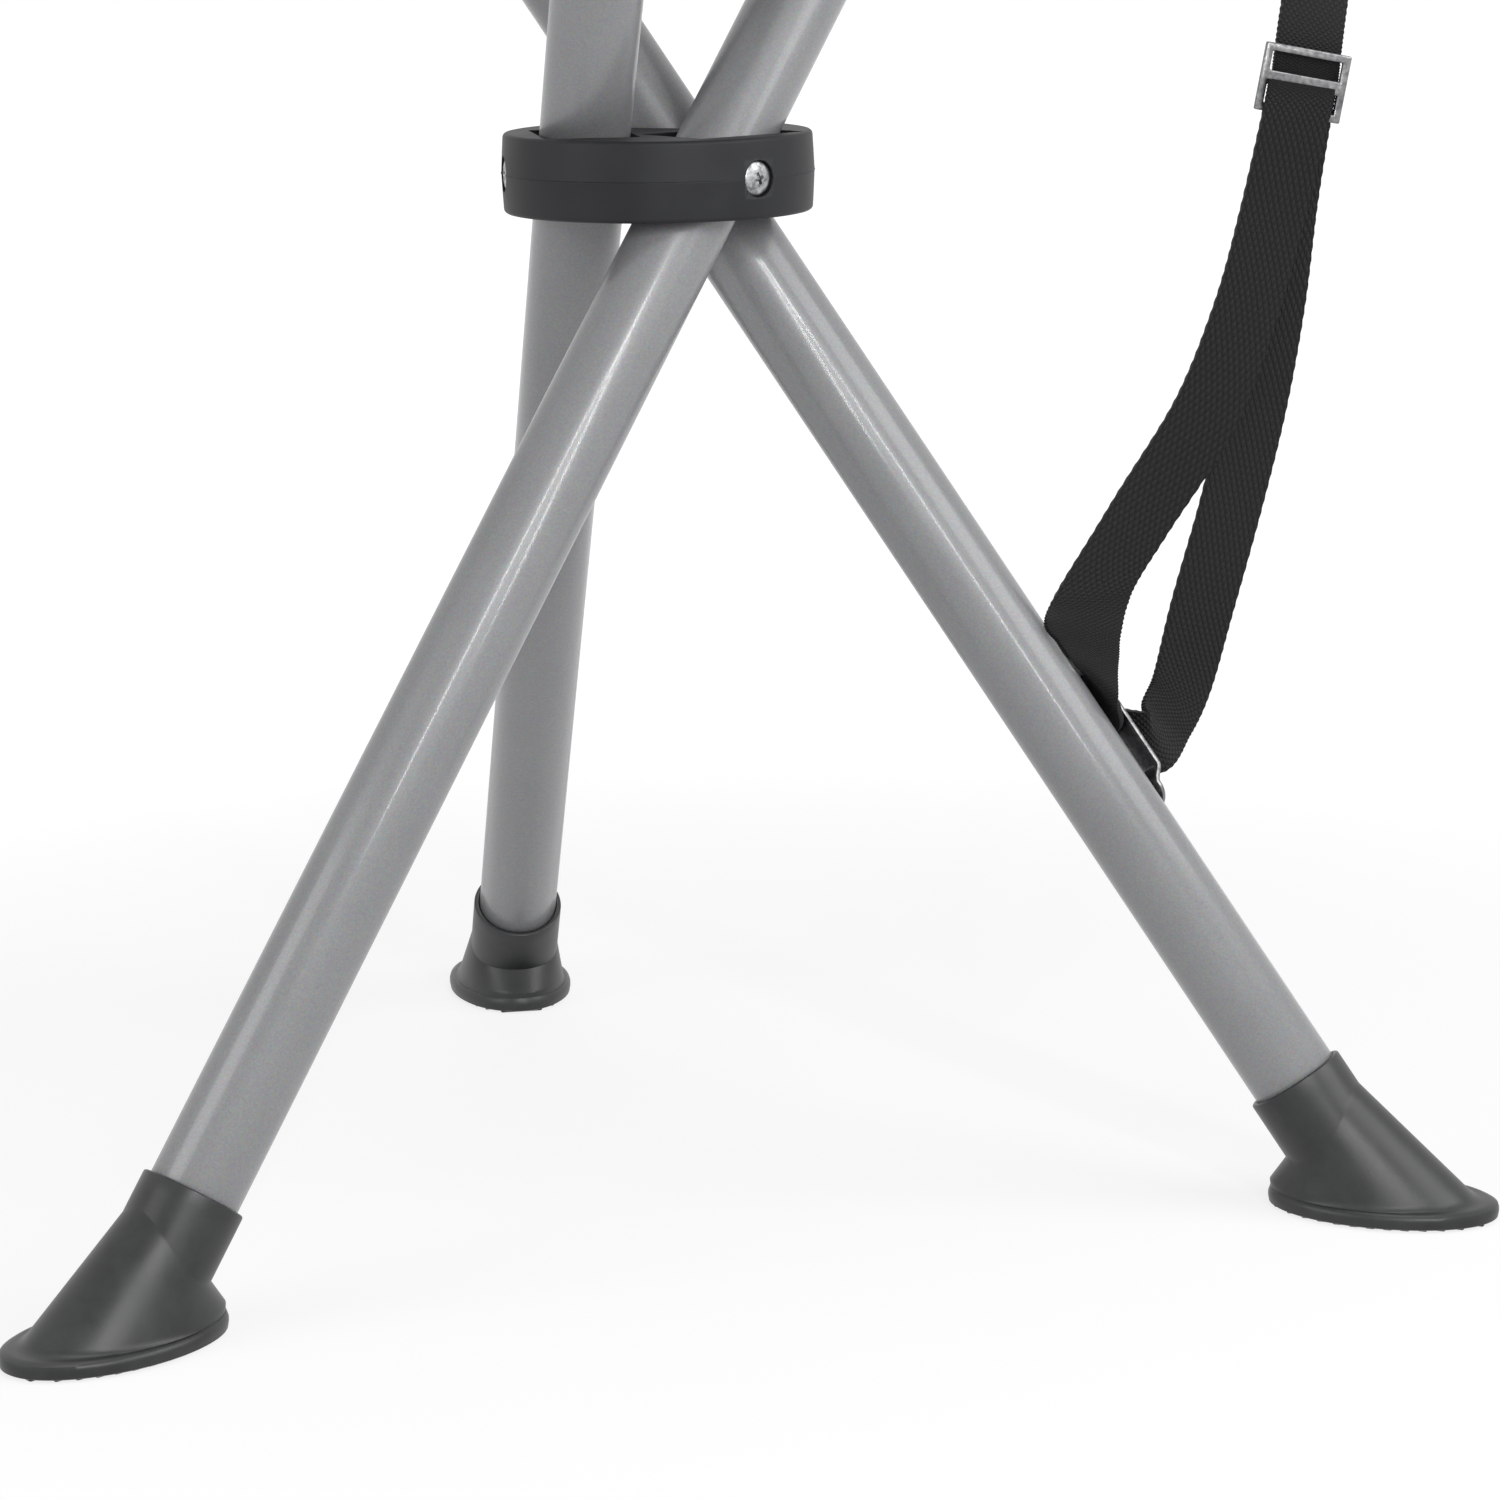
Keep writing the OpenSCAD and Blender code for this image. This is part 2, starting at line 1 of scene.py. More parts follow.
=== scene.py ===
import json
import math
import bmesh
import bpy
from mathutils import Matrix, Quaternion, Vector
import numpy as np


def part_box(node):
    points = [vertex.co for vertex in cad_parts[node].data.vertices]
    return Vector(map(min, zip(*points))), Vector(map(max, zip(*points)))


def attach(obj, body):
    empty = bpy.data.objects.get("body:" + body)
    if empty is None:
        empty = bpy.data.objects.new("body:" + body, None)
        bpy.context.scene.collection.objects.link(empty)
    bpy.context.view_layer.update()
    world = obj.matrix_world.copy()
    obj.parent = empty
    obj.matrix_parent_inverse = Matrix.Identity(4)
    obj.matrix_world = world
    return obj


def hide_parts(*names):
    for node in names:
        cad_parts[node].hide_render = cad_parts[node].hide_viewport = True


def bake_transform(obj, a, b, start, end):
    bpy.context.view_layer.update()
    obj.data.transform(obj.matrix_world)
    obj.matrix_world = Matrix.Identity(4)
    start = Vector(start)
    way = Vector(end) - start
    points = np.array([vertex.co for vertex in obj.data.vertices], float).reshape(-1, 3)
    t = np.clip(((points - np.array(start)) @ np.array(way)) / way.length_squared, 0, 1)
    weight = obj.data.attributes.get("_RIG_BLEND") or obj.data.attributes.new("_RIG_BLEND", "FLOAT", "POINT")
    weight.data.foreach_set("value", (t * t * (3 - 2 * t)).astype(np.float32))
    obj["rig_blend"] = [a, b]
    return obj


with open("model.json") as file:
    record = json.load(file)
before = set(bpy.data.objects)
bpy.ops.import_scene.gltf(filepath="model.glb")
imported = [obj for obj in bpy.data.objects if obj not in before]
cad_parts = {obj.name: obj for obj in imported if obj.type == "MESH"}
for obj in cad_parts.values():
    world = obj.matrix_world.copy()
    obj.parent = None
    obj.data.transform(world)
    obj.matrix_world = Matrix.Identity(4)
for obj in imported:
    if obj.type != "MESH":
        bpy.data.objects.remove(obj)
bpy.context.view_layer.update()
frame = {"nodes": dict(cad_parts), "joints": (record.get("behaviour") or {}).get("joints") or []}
nodes = frame["nodes"]
joints = {joint["name"]: joint for joint in frame["joints"]}
legs = "abc"
mm = 0.001  # pieces are modelled in millimetres and set down in metres
print("frame loaded with", len(nodes), "nodes")

# the stool's main sizes, in millimetres, as the CAD has them
stool = {
    "tubeRadius": 12.5, "tubeWall": 1.2, "lowLength": 354, "topLength": 270, "tilt": 35.3,
    "pivotRadius": 21.5, "footFloor": 18, "softGap": 0.3, "pocketWall": 1.4,
}
tilt = math.radians(stool["tilt"])
hubCentre = sum((Vector(joints[f"leg_{leg}_fold"]["pos_m"]) for leg in legs), Vector()) / 3
tipOut = stool["topLength"] * math.sin(tilt)
tipUp = stool["topLength"] * math.cos(tilt)
tipRadius = math.hypot(stool["pivotRadius"], tipOut)


def turned(degrees, axis="Z"):
    return Matrix.Rotation(math.radians(degrees), 4, axis)


sideways = turned(90, "Y")  # lays a piece made upright along x


# the frame of a leg: x away from the hub along its pivot screw, z up the leg or straight up
def legFrame(leg, tilted=True):
    joint = joints[f"leg_{leg}_fold"]
    out = Vector(joint["axis"]).normalized()
    up = Vector((0, 0, 1))
    place = Matrix((out, up.cross(out), up)).transposed().to_4x4()
    place.translation = Vector(joint["pos_m"])
    return place @ turned(-stool["tilt"] if tilted else 0, "X")


def hubFrame():
    return Matrix.Translation(hubCentre)


# unit vector from the middle of the stool towards the tip of a leg
def cornerWay(leg):
    out = Vector(joints[f"leg_{leg}_fold"]["axis"]).normalized()
    return Matrix.Rotation(math.atan2(tipOut, stool["pivotRadius"]), 3, "Z") @ out


# sRGB hex to the linear colour that shaders take
def linear(hexColour):
    parts = [int(hexColour[i:i + 2], 16) / 255 for i in (1, 3, 5)]
    return tuple(c / 12.92 if c <= 0.04045 else ((c + 0.055) / 1.055) ** 2.4 for c in parts) + (1,)


def newMaterial(name):
    material = bpy.data.materials.new(name)
    material.use_nodes = True
    material.node_tree.nodes.clear()
    return material


# adds a node to a material or the world; inputs are values or the sockets that feed them
def addNode(owner, kind, inputs=None, **settings):
    node = owner.node_tree.nodes.new(kind)
    for name, value in settings.items():
        setattr(node, name, value)
    for name, value in (inputs or {}).items():
        if isinstance(value, bpy.types.NodeSocket):
            owner.node_tree.links.new(value, node.inputs[name])
        else:
            node.inputs[name].default_value = value
    return node


def setRamp(ramp, stops):
    elements = ramp.color_ramp.elements
    while len(elements) < len(stops):
        elements.new(0.5)
    for element, (position, colour) in zip(elements, stops):
        element.position = position
        element.color = colour


# the scale of a pattern in metres, from its real size in millimetres
def patternScale(size):
    return 1 / (size * mm)


# joins a shader to the material's output
def finishMaterial(material, shader):
    addNode(material, "ShaderNodeOutputMaterial", {"Surface": shader.outputs[0]})
    return material


# powder-painted steel tube: satin silver grey with a faint orange peel and a clear, glossy top
def makeTubePaint():
    material = newMaterial("silverPaintedSteel")
    place = addNode(material, "ShaderNodeTexCoord").outputs["Object"]
    peel = addNode(material, "ShaderNodeTexNoise", {
        "Vector": place, "Scale": patternScale(2.38), "Detail": 2})
    cloud = addNode(material, "ShaderNodeTexNoise", {
        "Vector": place, "Scale": patternScale(45.5), "Detail": 3})
    flake = addNode(material, "ShaderNodeTexVoronoi", {"Vector": place, "Scale": patternScale(0.385)})
    tone = addNode(material, "ShaderNodeValToRGB", {"Fac": cloud.outputs["Fac"]})
    setRamp(tone, [(0.3, linear("#808183")), (0.7, linear("#88898b"))])
    spark = addNode(material, "ShaderNodeMix", {
        "Factor": 0.07, "A": tone.outputs["Color"], "B": flake.outputs["Color"]}, data_type="RGBA")
    gloss = addNode(material, "ShaderNodeMapRange", {
        "Value": cloud.outputs["Fac"], "To Min": 0.33, "To Max": 0.4})
    bump = addNode(material, "ShaderNodeBump", {
        "Height": peel.outputs["Fac"], "Strength": 0.005, "Distance": 0.0002})
    shader = addNode(material, "ShaderNodeBsdfPrincipled", {
        "Base Color": spark.outputs["Result"], "Metallic": 0.1, "Roughness": gloss.outputs["Result"],
        "Normal": bump.outputs["Normal"], "Specular IOR Level": 0.4,
        "Coat Weight": 0.4, "Coat Roughness": 0.13})
    return finishMaterial(material, shader)


# moulded black nylon: low sheen, a fine spark-eroded grain and rubbed lighter patches
def makeHubNylon():
    material = newMaterial("mouldedNylon")
    place = addNode(material, "ShaderNodeTexCoord").outputs["Object"]
    grain = addNode(material, "ShaderNodeTexNoise", {
        "Vector": place, "Scale": patternScale(0.455), "Detail": 3})
    smear = addNode(material, "ShaderNodeTexNoise", {
        "Vector": place, "Scale": patternScale(16.7), "Detail": 4})
    tone = addNode(material, "ShaderNodeValToRGB", {"Fac": smear.outputs["Fac"]})
    setRamp(tone, [(0.35, linear("#1b1c1e")), (0.75, linear("#252628"))])
    gloss = addNode(material, "ShaderNodeMapRange", {
        "Value": smear.outputs["Fac"], "To Min": 0.42, "To Max": 0.6})
    bump = addNode(material, "ShaderNodeBump", {
        "Height": grain.outputs["Fac"], "Strength": 0.25, "Distance": 0.0001})
    shader = addNode(material, "ShaderNodeBsdfPrincipled", {
        "Base Color": tone.outputs["Color"], "Roughness": gloss.outputs["Result"],
        "Normal": bump.outputs["Normal"], "IOR": 1.53, "Specular IOR Level": 0.25})
    return finishMaterial(material, shader)


# zinc-plated steel: bright grey metal with a mottled crystal bloom
def makePlatedSteel(name, light, dark, roughness):
    material = newMaterial(name)
    place = addNode(material, "ShaderNodeTexCoord").outputs["Object"]
    bloom = addNode(material, "ShaderNodeTexNoise", {
        "Vector": place, "Scale": patternScale(1.43), "Detail": 5})
    tone = addNode(material, "ShaderNodeValToRGB", {"Fac": bloom.outputs["Fac"]})
    setRamp(tone, [(0.35, linear(dark)), (0.65, linear(light))])
    gloss = addNode(material, "ShaderNodeMapRange", {
        "Value": bloom.outputs["Fac"], "To Min": roughness + 0.12, "To Max": roughness})
    bump = addNode(material, "ShaderNodeBump", {
        "Height": bloom.outputs["Fac"], "Strength": 0.3, "Distance": 0.0001})
    shader = addNode(material, "ShaderNodeBsdfPrincipled", {
        "Base Color": tone.outputs["Color"], "Metallic": 1, "Roughness": gloss.outputs["Result"],
        "Normal": bump.outputs["Normal"]})
    return finishMaterial(material, shader)


# moulded rubber: dark grey with a dusty bloom and a soft sheen along its ridges
def makeFootRubber():
    material = newMaterial("mouldedRubber")
    place = addNode(material, "ShaderNodeTexCoord").outputs["Object"]
    dust = addNode(material, "ShaderNodeTexNoise", {
        "Vector": place, "Scale": patternScale(11.1), "Detail": 6, "Roughness": 0.6})
    grain = addNode(material, "ShaderNodeTexNoise", {
        "Vector": place, "Scale": patternScale(0.667), "Detail": 2})
    tone = addNode(material, "ShaderNodeValToRGB", {"Fac": dust.outputs["Fac"]})
    setRamp(tone, [(0.3, linear("#101212")), (0.7, linear("#282a2a"))])
    gloss = addNode(material, "ShaderNodeMapRange", {
        "Value": dust.outputs["Fac"], "To Min": 0.3, "To Max": 0.5})
    bump = addNode(material, "ShaderNodeBump", {
        "Height": grain.outputs["Fac"], "Strength": 0.2, "Distance": 0.0001})
    shader = addNode(material, "ShaderNodeBsdfPrincipled", {
        "Base Color": tone.outputs["Color"], "Roughness": gloss.outputs["Result"],
        "Normal": bump.outputs["Normal"], "IOR": 1.52})
    return finishMaterial(material, shader)


webbingYarn = {"across": 1.9, "along": 2.1, "fuzz": 0.333}  # spacings, in millimetres


# woven polypropylene strap: staggered rows of raised yarn, on the piece's own map in millimetres
def makeWebbing():
    material = newMaterial("wovenPolypropylene")
    across, along = 2 * math.pi / webbingYarn["across"], 2 * math.pi / webbingYarn["along"]
    place = addNode(material, "ShaderNodeUVMap", uv_map="cloth").outputs["UV"]
    axes = addNode(material, "ShaderNodeSeparateXYZ", {"Vector": place})
    waves = []
    for sign in (1, -1):
        low = addNode(material, "ShaderNodeMath", {
            0: axes.outputs["X"], 1: across / 2 * sign}, operation="MULTIPLY")
        both = addNode(material, "ShaderNodeMath", {
            0: axes.outputs["Y"], 1: along / 2, 2: low.outputs[0]}, operation="MULTIPLY_ADD")
        sine = addNode(material, "ShaderNodeMath", {0: both.outputs[0]}, operation="SINE")
        waves.append(addNode(material, "ShaderNodeMath", {0: sine.outputs[0]}, operation="ABSOLUTE"))
    weave = addNode(material, "ShaderNodeMath", {
        0: waves[0].outputs[0], 1: waves[1].outputs[0]}, operation="MULTIPLY")
    fuzz = addNode(material, "ShaderNodeTexNoise", {
        "Vector": place, "Scale": 1 / webbingYarn["fuzz"], "Detail": 3})
    height = addNode(material, "ShaderNodeMath", {
        0: fuzz.outputs["Fac"], 1: 0.25, 2: weave.outputs[0]}, operation="MULTIPLY_ADD")
    # painted shade: the weave sets the colour, darker in the troughs between the yarn rows and lighter on
    # their crowns
    tone = addNode(material, "ShaderNodeValToRGB", {"Fac": weave.outputs[0]})
    setRamp(tone, [(0.1, linear("#090a0a")), (0.8, linear("#1b1c1c"))])
    bump = addNode(material, "ShaderNodeBump", {
        "Height": height.outputs[0], "Strength": 0.9, "Distance": 0.0004})
    shader = addNode(material, "ShaderNodeBsdfPrincipled", {
        "Base Color": tone.outputs["Color"], "Roughness": 0.6, "Normal": bump.outputs["Normal"],
        "Specular IOR Level": 0.2, "Sheen Weight": 0.04, "Sheen Roughness": 0.5})
    return finishMaterial(material, shader)


# plain-woven polyester: dull cloth or tape with an even weave, whose threads are drawn coarse
# enough to show, at the spacing in millimetres
def makeSeatCloth(name, light, dark, spacing, sheen):
    material = newMaterial(name)
    place = addNode(material, "ShaderNodeUVMap", uv_map="cloth").outputs["UV"]
    axes = addNode(material, "ShaderNodeSeparateXYZ", {"Vector": place})
    waves = []
    for axis in ("X", "Y"):
        turn = addNode(material, "ShaderNodeMath", {
            0: axes.outputs[axis], 1: math.pi / spacing}, operation="MULTIPLY")
        waves.append(addNode(material, "ShaderNodeMath", {0: turn.outputs[0]}, operation="SINE"))
    weave = addNode(material, "ShaderNodeMath", {
        0: waves[0].outputs[0], 1: waves[1].outputs[0]}, operation="MULTIPLY")
    slubSize = 1.67
    slub = addNode(material, "ShaderNodeTexNoise", {"Vector": place, "Scale": 1 / slubSize, "Detail": 4})
    height = addNode(material, "ShaderNodeMath", {
        0: slub.outputs["Fac"], 1: 0.8, 2: weave.outputs[0]}, operation="MULTIPLY_ADD")
    # the colour follows the height: the slub noise gives the yarn an uneven tone, and the darker hollows of
    # the weave are painted shade
    tone = addNode(material, "ShaderNodeValToRGB", {"Fac": height.outputs[0]})
    setRamp(tone, [(0.0, linear(dark)), (1.0, linear(light))])
    bump = addNode(material, "ShaderNodeBump", {
        "Height": height.outputs[0], "Strength": 0.5, "Distance": 0.00015})
    shader = addNode(material, "ShaderNodeBsdfPrincipled", {
        "Base Color": tone.outputs["Color"], "Roughness": 0.7, "Normal": bump.outputs["Normal"],
        "Sheen Weight": sheen, "Sheen Roughness": 0.4})
    return finishMaterial(material, shader)


# twisted polyester thread: short raised stitches with a soft gloss
def makeThread():
    material = newMaterial("polyesterThread")
    place = addNode(material, "ShaderNodeTexCoord").outputs["Object"]
    twist = addNode(material, "ShaderNodeTexNoise", {"Vector": place, "Scale": patternScale(0.333)})
    tone = addNode(material, "ShaderNodeValToRGB", {"Fac": twist.outputs["Fac"]})
    setRamp(tone, [(0.3, linear("#2a2b2d")), (0.7, linear("#45474a"))])
    shader = addNode(material, "ShaderNodeBsdfPrincipled", {
        "Base Color": tone.outputs["Color"], "Roughness": 0.45})
    return finishMaterial(material, shader)


tubePaint = makeTubePaint()
hubNylon = makeHubNylon()
screwZinc = makePlatedSteel("zincPlatedScrew", "#b8b9b9", "#707275", 0.3)
stripSteel = makePlatedSteel("platedStripSteel", "#8c8c8b", "#66676a", 0.26)
footRubber = makeFootRubber()
webbing = makeWebbing()
seatCloth = makeSeatCloth("wovenPolyester", "#34363b", "#1c1e22", 0.9, 0.2)
tapeCloth = makeSeatCloth("bindingTape", "#2a2b2e", "#141517", 1.3, 0.1)
stitchThread = makeThread()
print("materials ready")


def deselectAll():
    if bpy.context.object and bpy.context.object.mode == "EDIT":
        bpy.ops.object.mode_set(mode="OBJECT")
    bpy.ops.object.select_all(action="DESELECT")


def makeActive(piece):
    deselectAll()
    piece.select_set(True)
    bpy.context.view_layer.objects.active = piece


# names what was added last, and moves its place into its mesh
def takePiece(name):
    bpy.ops.object.transform_apply(location=True, rotation=True, scale=True)
    piece = bpy.context.object
    piece.name = piece.data.name = name
    return piece


def applyModifier(piece, kind, **settings):
    makeActive(piece)
    modifier = piece.modifiers.new(kind, kind)
    for name, value in settings.items():
        setattr(modifier, name, value)
    bpy.ops.object.modifier_apply(modifier=modifier.name)


def roundEdges(piece, width, segments=2, degrees=60):
    applyModifier(piece, "BEVEL", width=width, segments=segments, angle_limit=math.radians(degrees))


def addBlock(name, size, at=(0, 0, 0)):
    deselectAll()
    bpy.ops.mesh.primitive_cube_add(size=1, scale=size, location=at)
    return takePiece(name)


def cutAway(piece, cutter):
    applyModifier(piece, "BOOLEAN", object=cutter, operation="DIFFERENCE", solver="EXACT")
    bpy.data.objects.remove(cutter)


def joinPieces(pieces):
    makeActive(pieces[0])
    for piece in pieces:
        piece.select_set(True)
    bpy.ops.object.join()
    return pieces[0]


def copyPiece(piece, name):
    twin = piece.copy()
    twin.data = piece.data.copy()
    twin.name = twin.data.name = name
    bpy.context.scene.collection.objects.link(twin)
    return twin


def setDown(piece, place):
    piece.data.transform(place @ Matrix.Scale(mm, 4))
    piece.data.update()


def smooth(piece, degrees=35):
    makeActive(piece)
    bpy.ops.object.shade_smooth_by_angle(angle=math.radians(degrees))


def paint(piece, *materials):
    piece.data.materials.clear()
    for material in materials:
        piece.data.materials.append(material)


# grows a round piece from its first disc: profile is a list of (radius, height)
def growRings(name, profile, vertices):
    deselectAll()
    radius, height = profile[0]
    bpy.ops.mesh.primitive_circle_add(
        vertices=vertices, radius=radius, fill_type="NGON", location=(0, 0, height))
    bpy.ops.object.mode_set(mode="EDIT")
    bpy.ops.mesh.select_mode(type="FACE")
    bpy.ops.mesh.select_all(action="SELECT")
    for nextRadius, nextHeight in profile[1:]:
        rise = (0, 0, nextHeight - height)
        bpy.ops.mesh.extrude_region_move(TRANSFORM_OT_translate={"value": rise})
        share = nextRadius / radius
        bpy.ops.transform.resize(value=(share, share, 1), center_override=(0, 0, nextHeight))
        radius, height = nextRadius, nextHeight
    bpy.ops.mesh.select_all(action="SELECT")
    bpy.ops.mesh.normals_make_consistent(inside=False)
    bpy.ops.object.mode_set(mode="OBJECT")
    return takePiece(name)


# grows a piece from a disc, each ring set by a function of the bearing round it
def growShaped(name, rings, vertices):
    deselectAll()
    bpy.ops.mesh.primitive_circle_add(vertices=vertices, radius=1, fill_type="NGON")
    bpy.ops.object.mode_set(mode="EDIT")
    bpy.ops.mesh.select_mode(type="FACE")
    bpy.ops.mesh.select_all(action="SELECT")
    mesh = bmesh.from_edit_mesh(bpy.context.object.data)
    bearing = mesh.verts.layers.float.new("bearing")
    for vertex in mesh.verts:
        vertex[bearing] = math.atan2(vertex.co.x, -vertex.co.y)
    for step, ring in enumerate(rings):
        if step:
            bpy.ops.mesh.extrude_region_move()
        mesh = bmesh.from_edit_mesh(bpy.context.object.data)
        bearing = mesh.verts.layers.float["bearing"]
        for vertex in mesh.verts:
            if vertex.select:
                vertex.co = ring(vertex[bearing])
        bmesh.update_edit_mesh(bpy.context.object.data)
    bpy.ops.mesh.select_all(action="SELECT")
    bpy.ops.mesh.normals_make_consistent(inside=False)
    bpy.ops.object.mode_set(mode="OBJECT")
    return takePiece(name)


# a grid of cloth or strip: each vertex is set by a function of its two shares, and mapped in millimetres
def layGrid(name, columns, rows, shape, mapSize=None, mapPoint=None):
    deselectAll()
    bpy.ops.mesh.primitive_grid_add(x_subdivisions=columns, y_subdivisions=rows, size=1, calc_uvs=True)
    piece = takePiece(name)
    piece.data.uv_layers[0].name = "cloth"
    shares = [(vertex.co.x + 0.5, vertex.co.y + 0.5) for vertex in piece.data.vertices]
    for vertex, (u, v) in zip(piece.data.vertices, shares):
        vertex.co = shape(u, v)
    layer = piece.data.uv_layers["cloth"].data
    for loop in piece.data.loops:
        u, v = shares[loop.vertex_index]
        layer[loop.index].uv = mapPoint(u, v) if mapPoint else (u * mapSize[0], v * mapSize[1])
    return piece


stitchSizes = {"pitch": 3.4, "length": 2.4, "radius": 0.26, "rise": 0.3}


# rows of short raised stitches along lines of (place, normal), as one piece
def sewStitches(name, rows):
    pitch, thick = stitchSizes["pitch"], stitchSizes["radius"]
    deselectAll()
    bpy.ops.mesh.primitive_cylinder_add(
        vertices=6, radius=thick, depth=stitchSizes["length"], end_fill_type="TRIFAN")
    bpy.ops.object.mode_set(mode="EDIT")
    bpy.ops.mesh.bevel(offset=thick * 0.6, segments=1)
    bpy.ops.object.mode_set(mode="OBJECT")
    pattern = takePiece("stitch")
    sewn = bmesh.new()
    for line in rows:
        travelled, due = 0.0, pitch / 2
        for (start, lift), (end, _) in zip(line, line[1:]):
            span = (end - start).length
            while span > 0 and due <= travelled + span:
                share = (due - travelled) / span
                along = (end - start).normalized()
                place = Matrix((lift.cross(along), lift, along)).transposed().to_4x4()
                place.translation = start.lerp(end, share) + lift * thick * stitchSizes["rise"]
                copy = pattern.data.copy()
                copy.transform(place)
                sewn.from_mesh(copy)
                bpy.data.meshes.remove(copy)
                due += pitch
            travelled += span
    mesh = bpy.data.meshes.new(name)
    sewn.to_mesh(mesh)
    sewn.free()
    bpy.data.objects.remove(pattern)
    piece = bpy.data.objects.new(name, mesh)
    bpy.context.scene.collection.objects.link(piece)
    paint(piece, stitchThread)
    return piece


# finishes a piece that moves with one body
def rideOn(piece, body, slotName, *replaced):
    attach(piece, body)
    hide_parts(*replaced)


# one point of a smooth curve through a list of places
def curvePoint(points, share):
    at = share * (len(points) - 1)
    i = min(int(at), len(points) - 2)
    t = at - i
    a, b, c, d = (points[max(0, min(len(points) - 1, j))] for j in (i - 1, i, i + 1, i + 2))
    return 0.5 * (
        2 * b + (c - a) * t + (2 * a - 5 * b + 4 * c - d) * t * t + (3 * b - a - 3 * c + d) * t ** 3)


# the camera stands where the photograph's did, its angles in degrees
cameraSizes = {"at": (-0.00707, -1.22114, 0.38196), "down": 12.167, "roll": -0.664, "lens": 102.78}
cameraData = bpy.data.cameras.new("camera")
cameraData.sensor_width = 36
cameraData.lens = cameraSizes["lens"]
cameraData.clip_start = 0.05
cameraData.clip_end = 50
camera = bpy.data.objects.new("camera", cameraData)
bpy.context.scene.collection.objects.link(camera)
camera.matrix_world = (
    Matrix.Translation(cameraSizes["at"])
    @ turned(90 - cameraSizes["down"], "X")
    @ turned(cameraSizes["roll"])
)
bpy.context.scene.camera = camera

tubeSizes = {"vertices": 128, "rimRound": 0.25, "pinHole": 2.55, "rivetHole": 1.55}
bracketSizes = {
    "at": 195, "turn": -26, "rise": 4.2, "thick": 1.4, "width": 15, "half": 31,
    "flat": 19.5, "foot": 24.2, "endRound": 6.5, "endShape": 0.93, "crowd": 0.35, "edge": 0.3,
    "rivetOff": 27.5,
    # half outline of a rivet: radius and height
    "rivet": [
        (1.5, -2.7), (1.5, 1.4), (2.9, 1.4), (2.88, 1.75), (2.6, 2.25), (2.1, 2.65), (1.4, 2.95),
        (0.5, 3.1),
    ],
}


def drill(piece, radius, depth, place):
    deselectAll()
    bpy.ops.mesh.primitive_cylinder_add(vertices=32, radius=radius, depth=depth)
    cutter = takePiece("drill")
    cutter.data.transform(place)
    cutAway(piece, cutter)


def makeTube(leg):
    bottom = stool["footFloor"] - stool["lowLength"]
    top = stool["topLength"]
    deselectAll()
    bpy.ops.mesh.primitive_cylinder_add(
        vertices=tubeSizes["vertices"], radius=stool["tubeRadius"], depth=top - bottom,
        end_fill_type="NOTHING", location=(0, 0, (top + bottom) / 2))
    tube = takePiece(f"legTube_{leg}")
    applyModifier(tube, "SOLIDIFY", thickness=stool["tubeWall"], offset=-1)
    roundEdges(tube, tubeSizes["rimRound"])
    drill(tube, tubeSizes["pinHole"], 4 * stool["tubeRadius"], sideways)
    if leg == "b":
        turn = turned(bracketSizes["turn"])
        for side in (-1, 1):
            height = side * bracketSizes["rivetOff"] - bracketSizes["at"]
            out = Matrix.Translation((stool["tubeRadius"], 0, height))
            drill(tube, tubeSizes["rivetHole"], stool["tubeRadius"], turn @ out @ sideways)
    smooth(tube)
    paint(tube, tubePaint)
    setDown(tube, legFrame(leg))
    rideOn(tube, f"leg_{leg}", "tube_paint", f"leg_tube_{leg}")


for leg in legs:
    makeTube(leg)
print("tubes drilled")

# the rim has a parting ridge at its middle, and draws in by the draft above and below it
hubSizes = {
    "radius": 43.5, "half": 11, "round": 1.2, "draft": 0.5, "band": 5.6, "edge": 0.5,
    "ridge": 0.16, "ridgeHalf": 0.32, "slotHalf": 13.0, "boreInside": 17.5,
    "headSeat": 41.3, "headRecess": 5.0, "recessDepth": 8,
}


def makeHub():
    radius, half, bend = hubSizes["radius"], hubSizes["half"], hubSizes["round"]
    face = radius - hubSizes["draft"]
    rim = [
        (face - bend + bend * math.sin(math.radians(a)), half - bend + bend * math.cos(math.radians(a)))
        for a in (0, 22.5, 45, 67.5, 90)
    ]
    profile = [(r, -z) for r, z in rim]
    middle = radius - hubSizes["draft"] / 2
    band, ridge = hubSizes["band"], hubSizes["ridgeHalf"]
    profile += [(middle, -band), (radius, -ridge), (radius + hubSizes["ridge"], 0)]
    profile += [(radius, ridge), (middle, band)]
    profile += rim[::-1]
    hub = growRings("hubBody", profile, 160)
    slot = hubSizes["slotHalf"]
    for turn in (0, 120, 240):
        way = turned(turn) @ Matrix.Translation((stool["pivotRadius"], 0, 0))
        for lean in (0, -stool["tilt"]):
            cutter = addBlock("slotCutter", (2 * slot, 2 * slot, 8 * half))
            cutter.data.transform(way @ turned(lean, "X"))
            cutAway(hub, cutter)
        out = way @ sideways
        bore = Matrix.Translation((0, 0, radius - hubSizes["boreInside"]))
        drill(hub, tubeSizes["pinHole"], 2 * radius, out @ bore)
        middleOut = hubSizes["headSeat"] - stool["pivotRadius"] + hubSizes["recessDepth"] / 2
        recess = Matrix.Translation((0, 0, middleOut))
        drill(hub, hubSizes["headRecess"], hubSizes["recessDepth"], out @ recess)
    roundEdges(hub, hubSizes["edge"], degrees=50)
    smooth(hub, 40)
    applyModifier(hub, "WEIGHTED_NORMAL", keep_sharp=True)
    paint(hub, hubNylon)
    first = Vector(joints["leg_a_fold"]["axis"])
    setDown(hub, hubFrame() @ Matrix.Rotation(math.atan2(first.y, first.x), 4, "Z"))
    rideOn(hub, "hub", "hub_plastic", "hub")


makeHub()
print("hub cut")

screwSizes = {
    "shank": 2.5, "length": 37.8, "head": 4.85, "height": 1.9, "rim": 0.7,
    "wing": 4.9, "slit": 1.0, "depth": 1.3, "taper": 0.45,
}


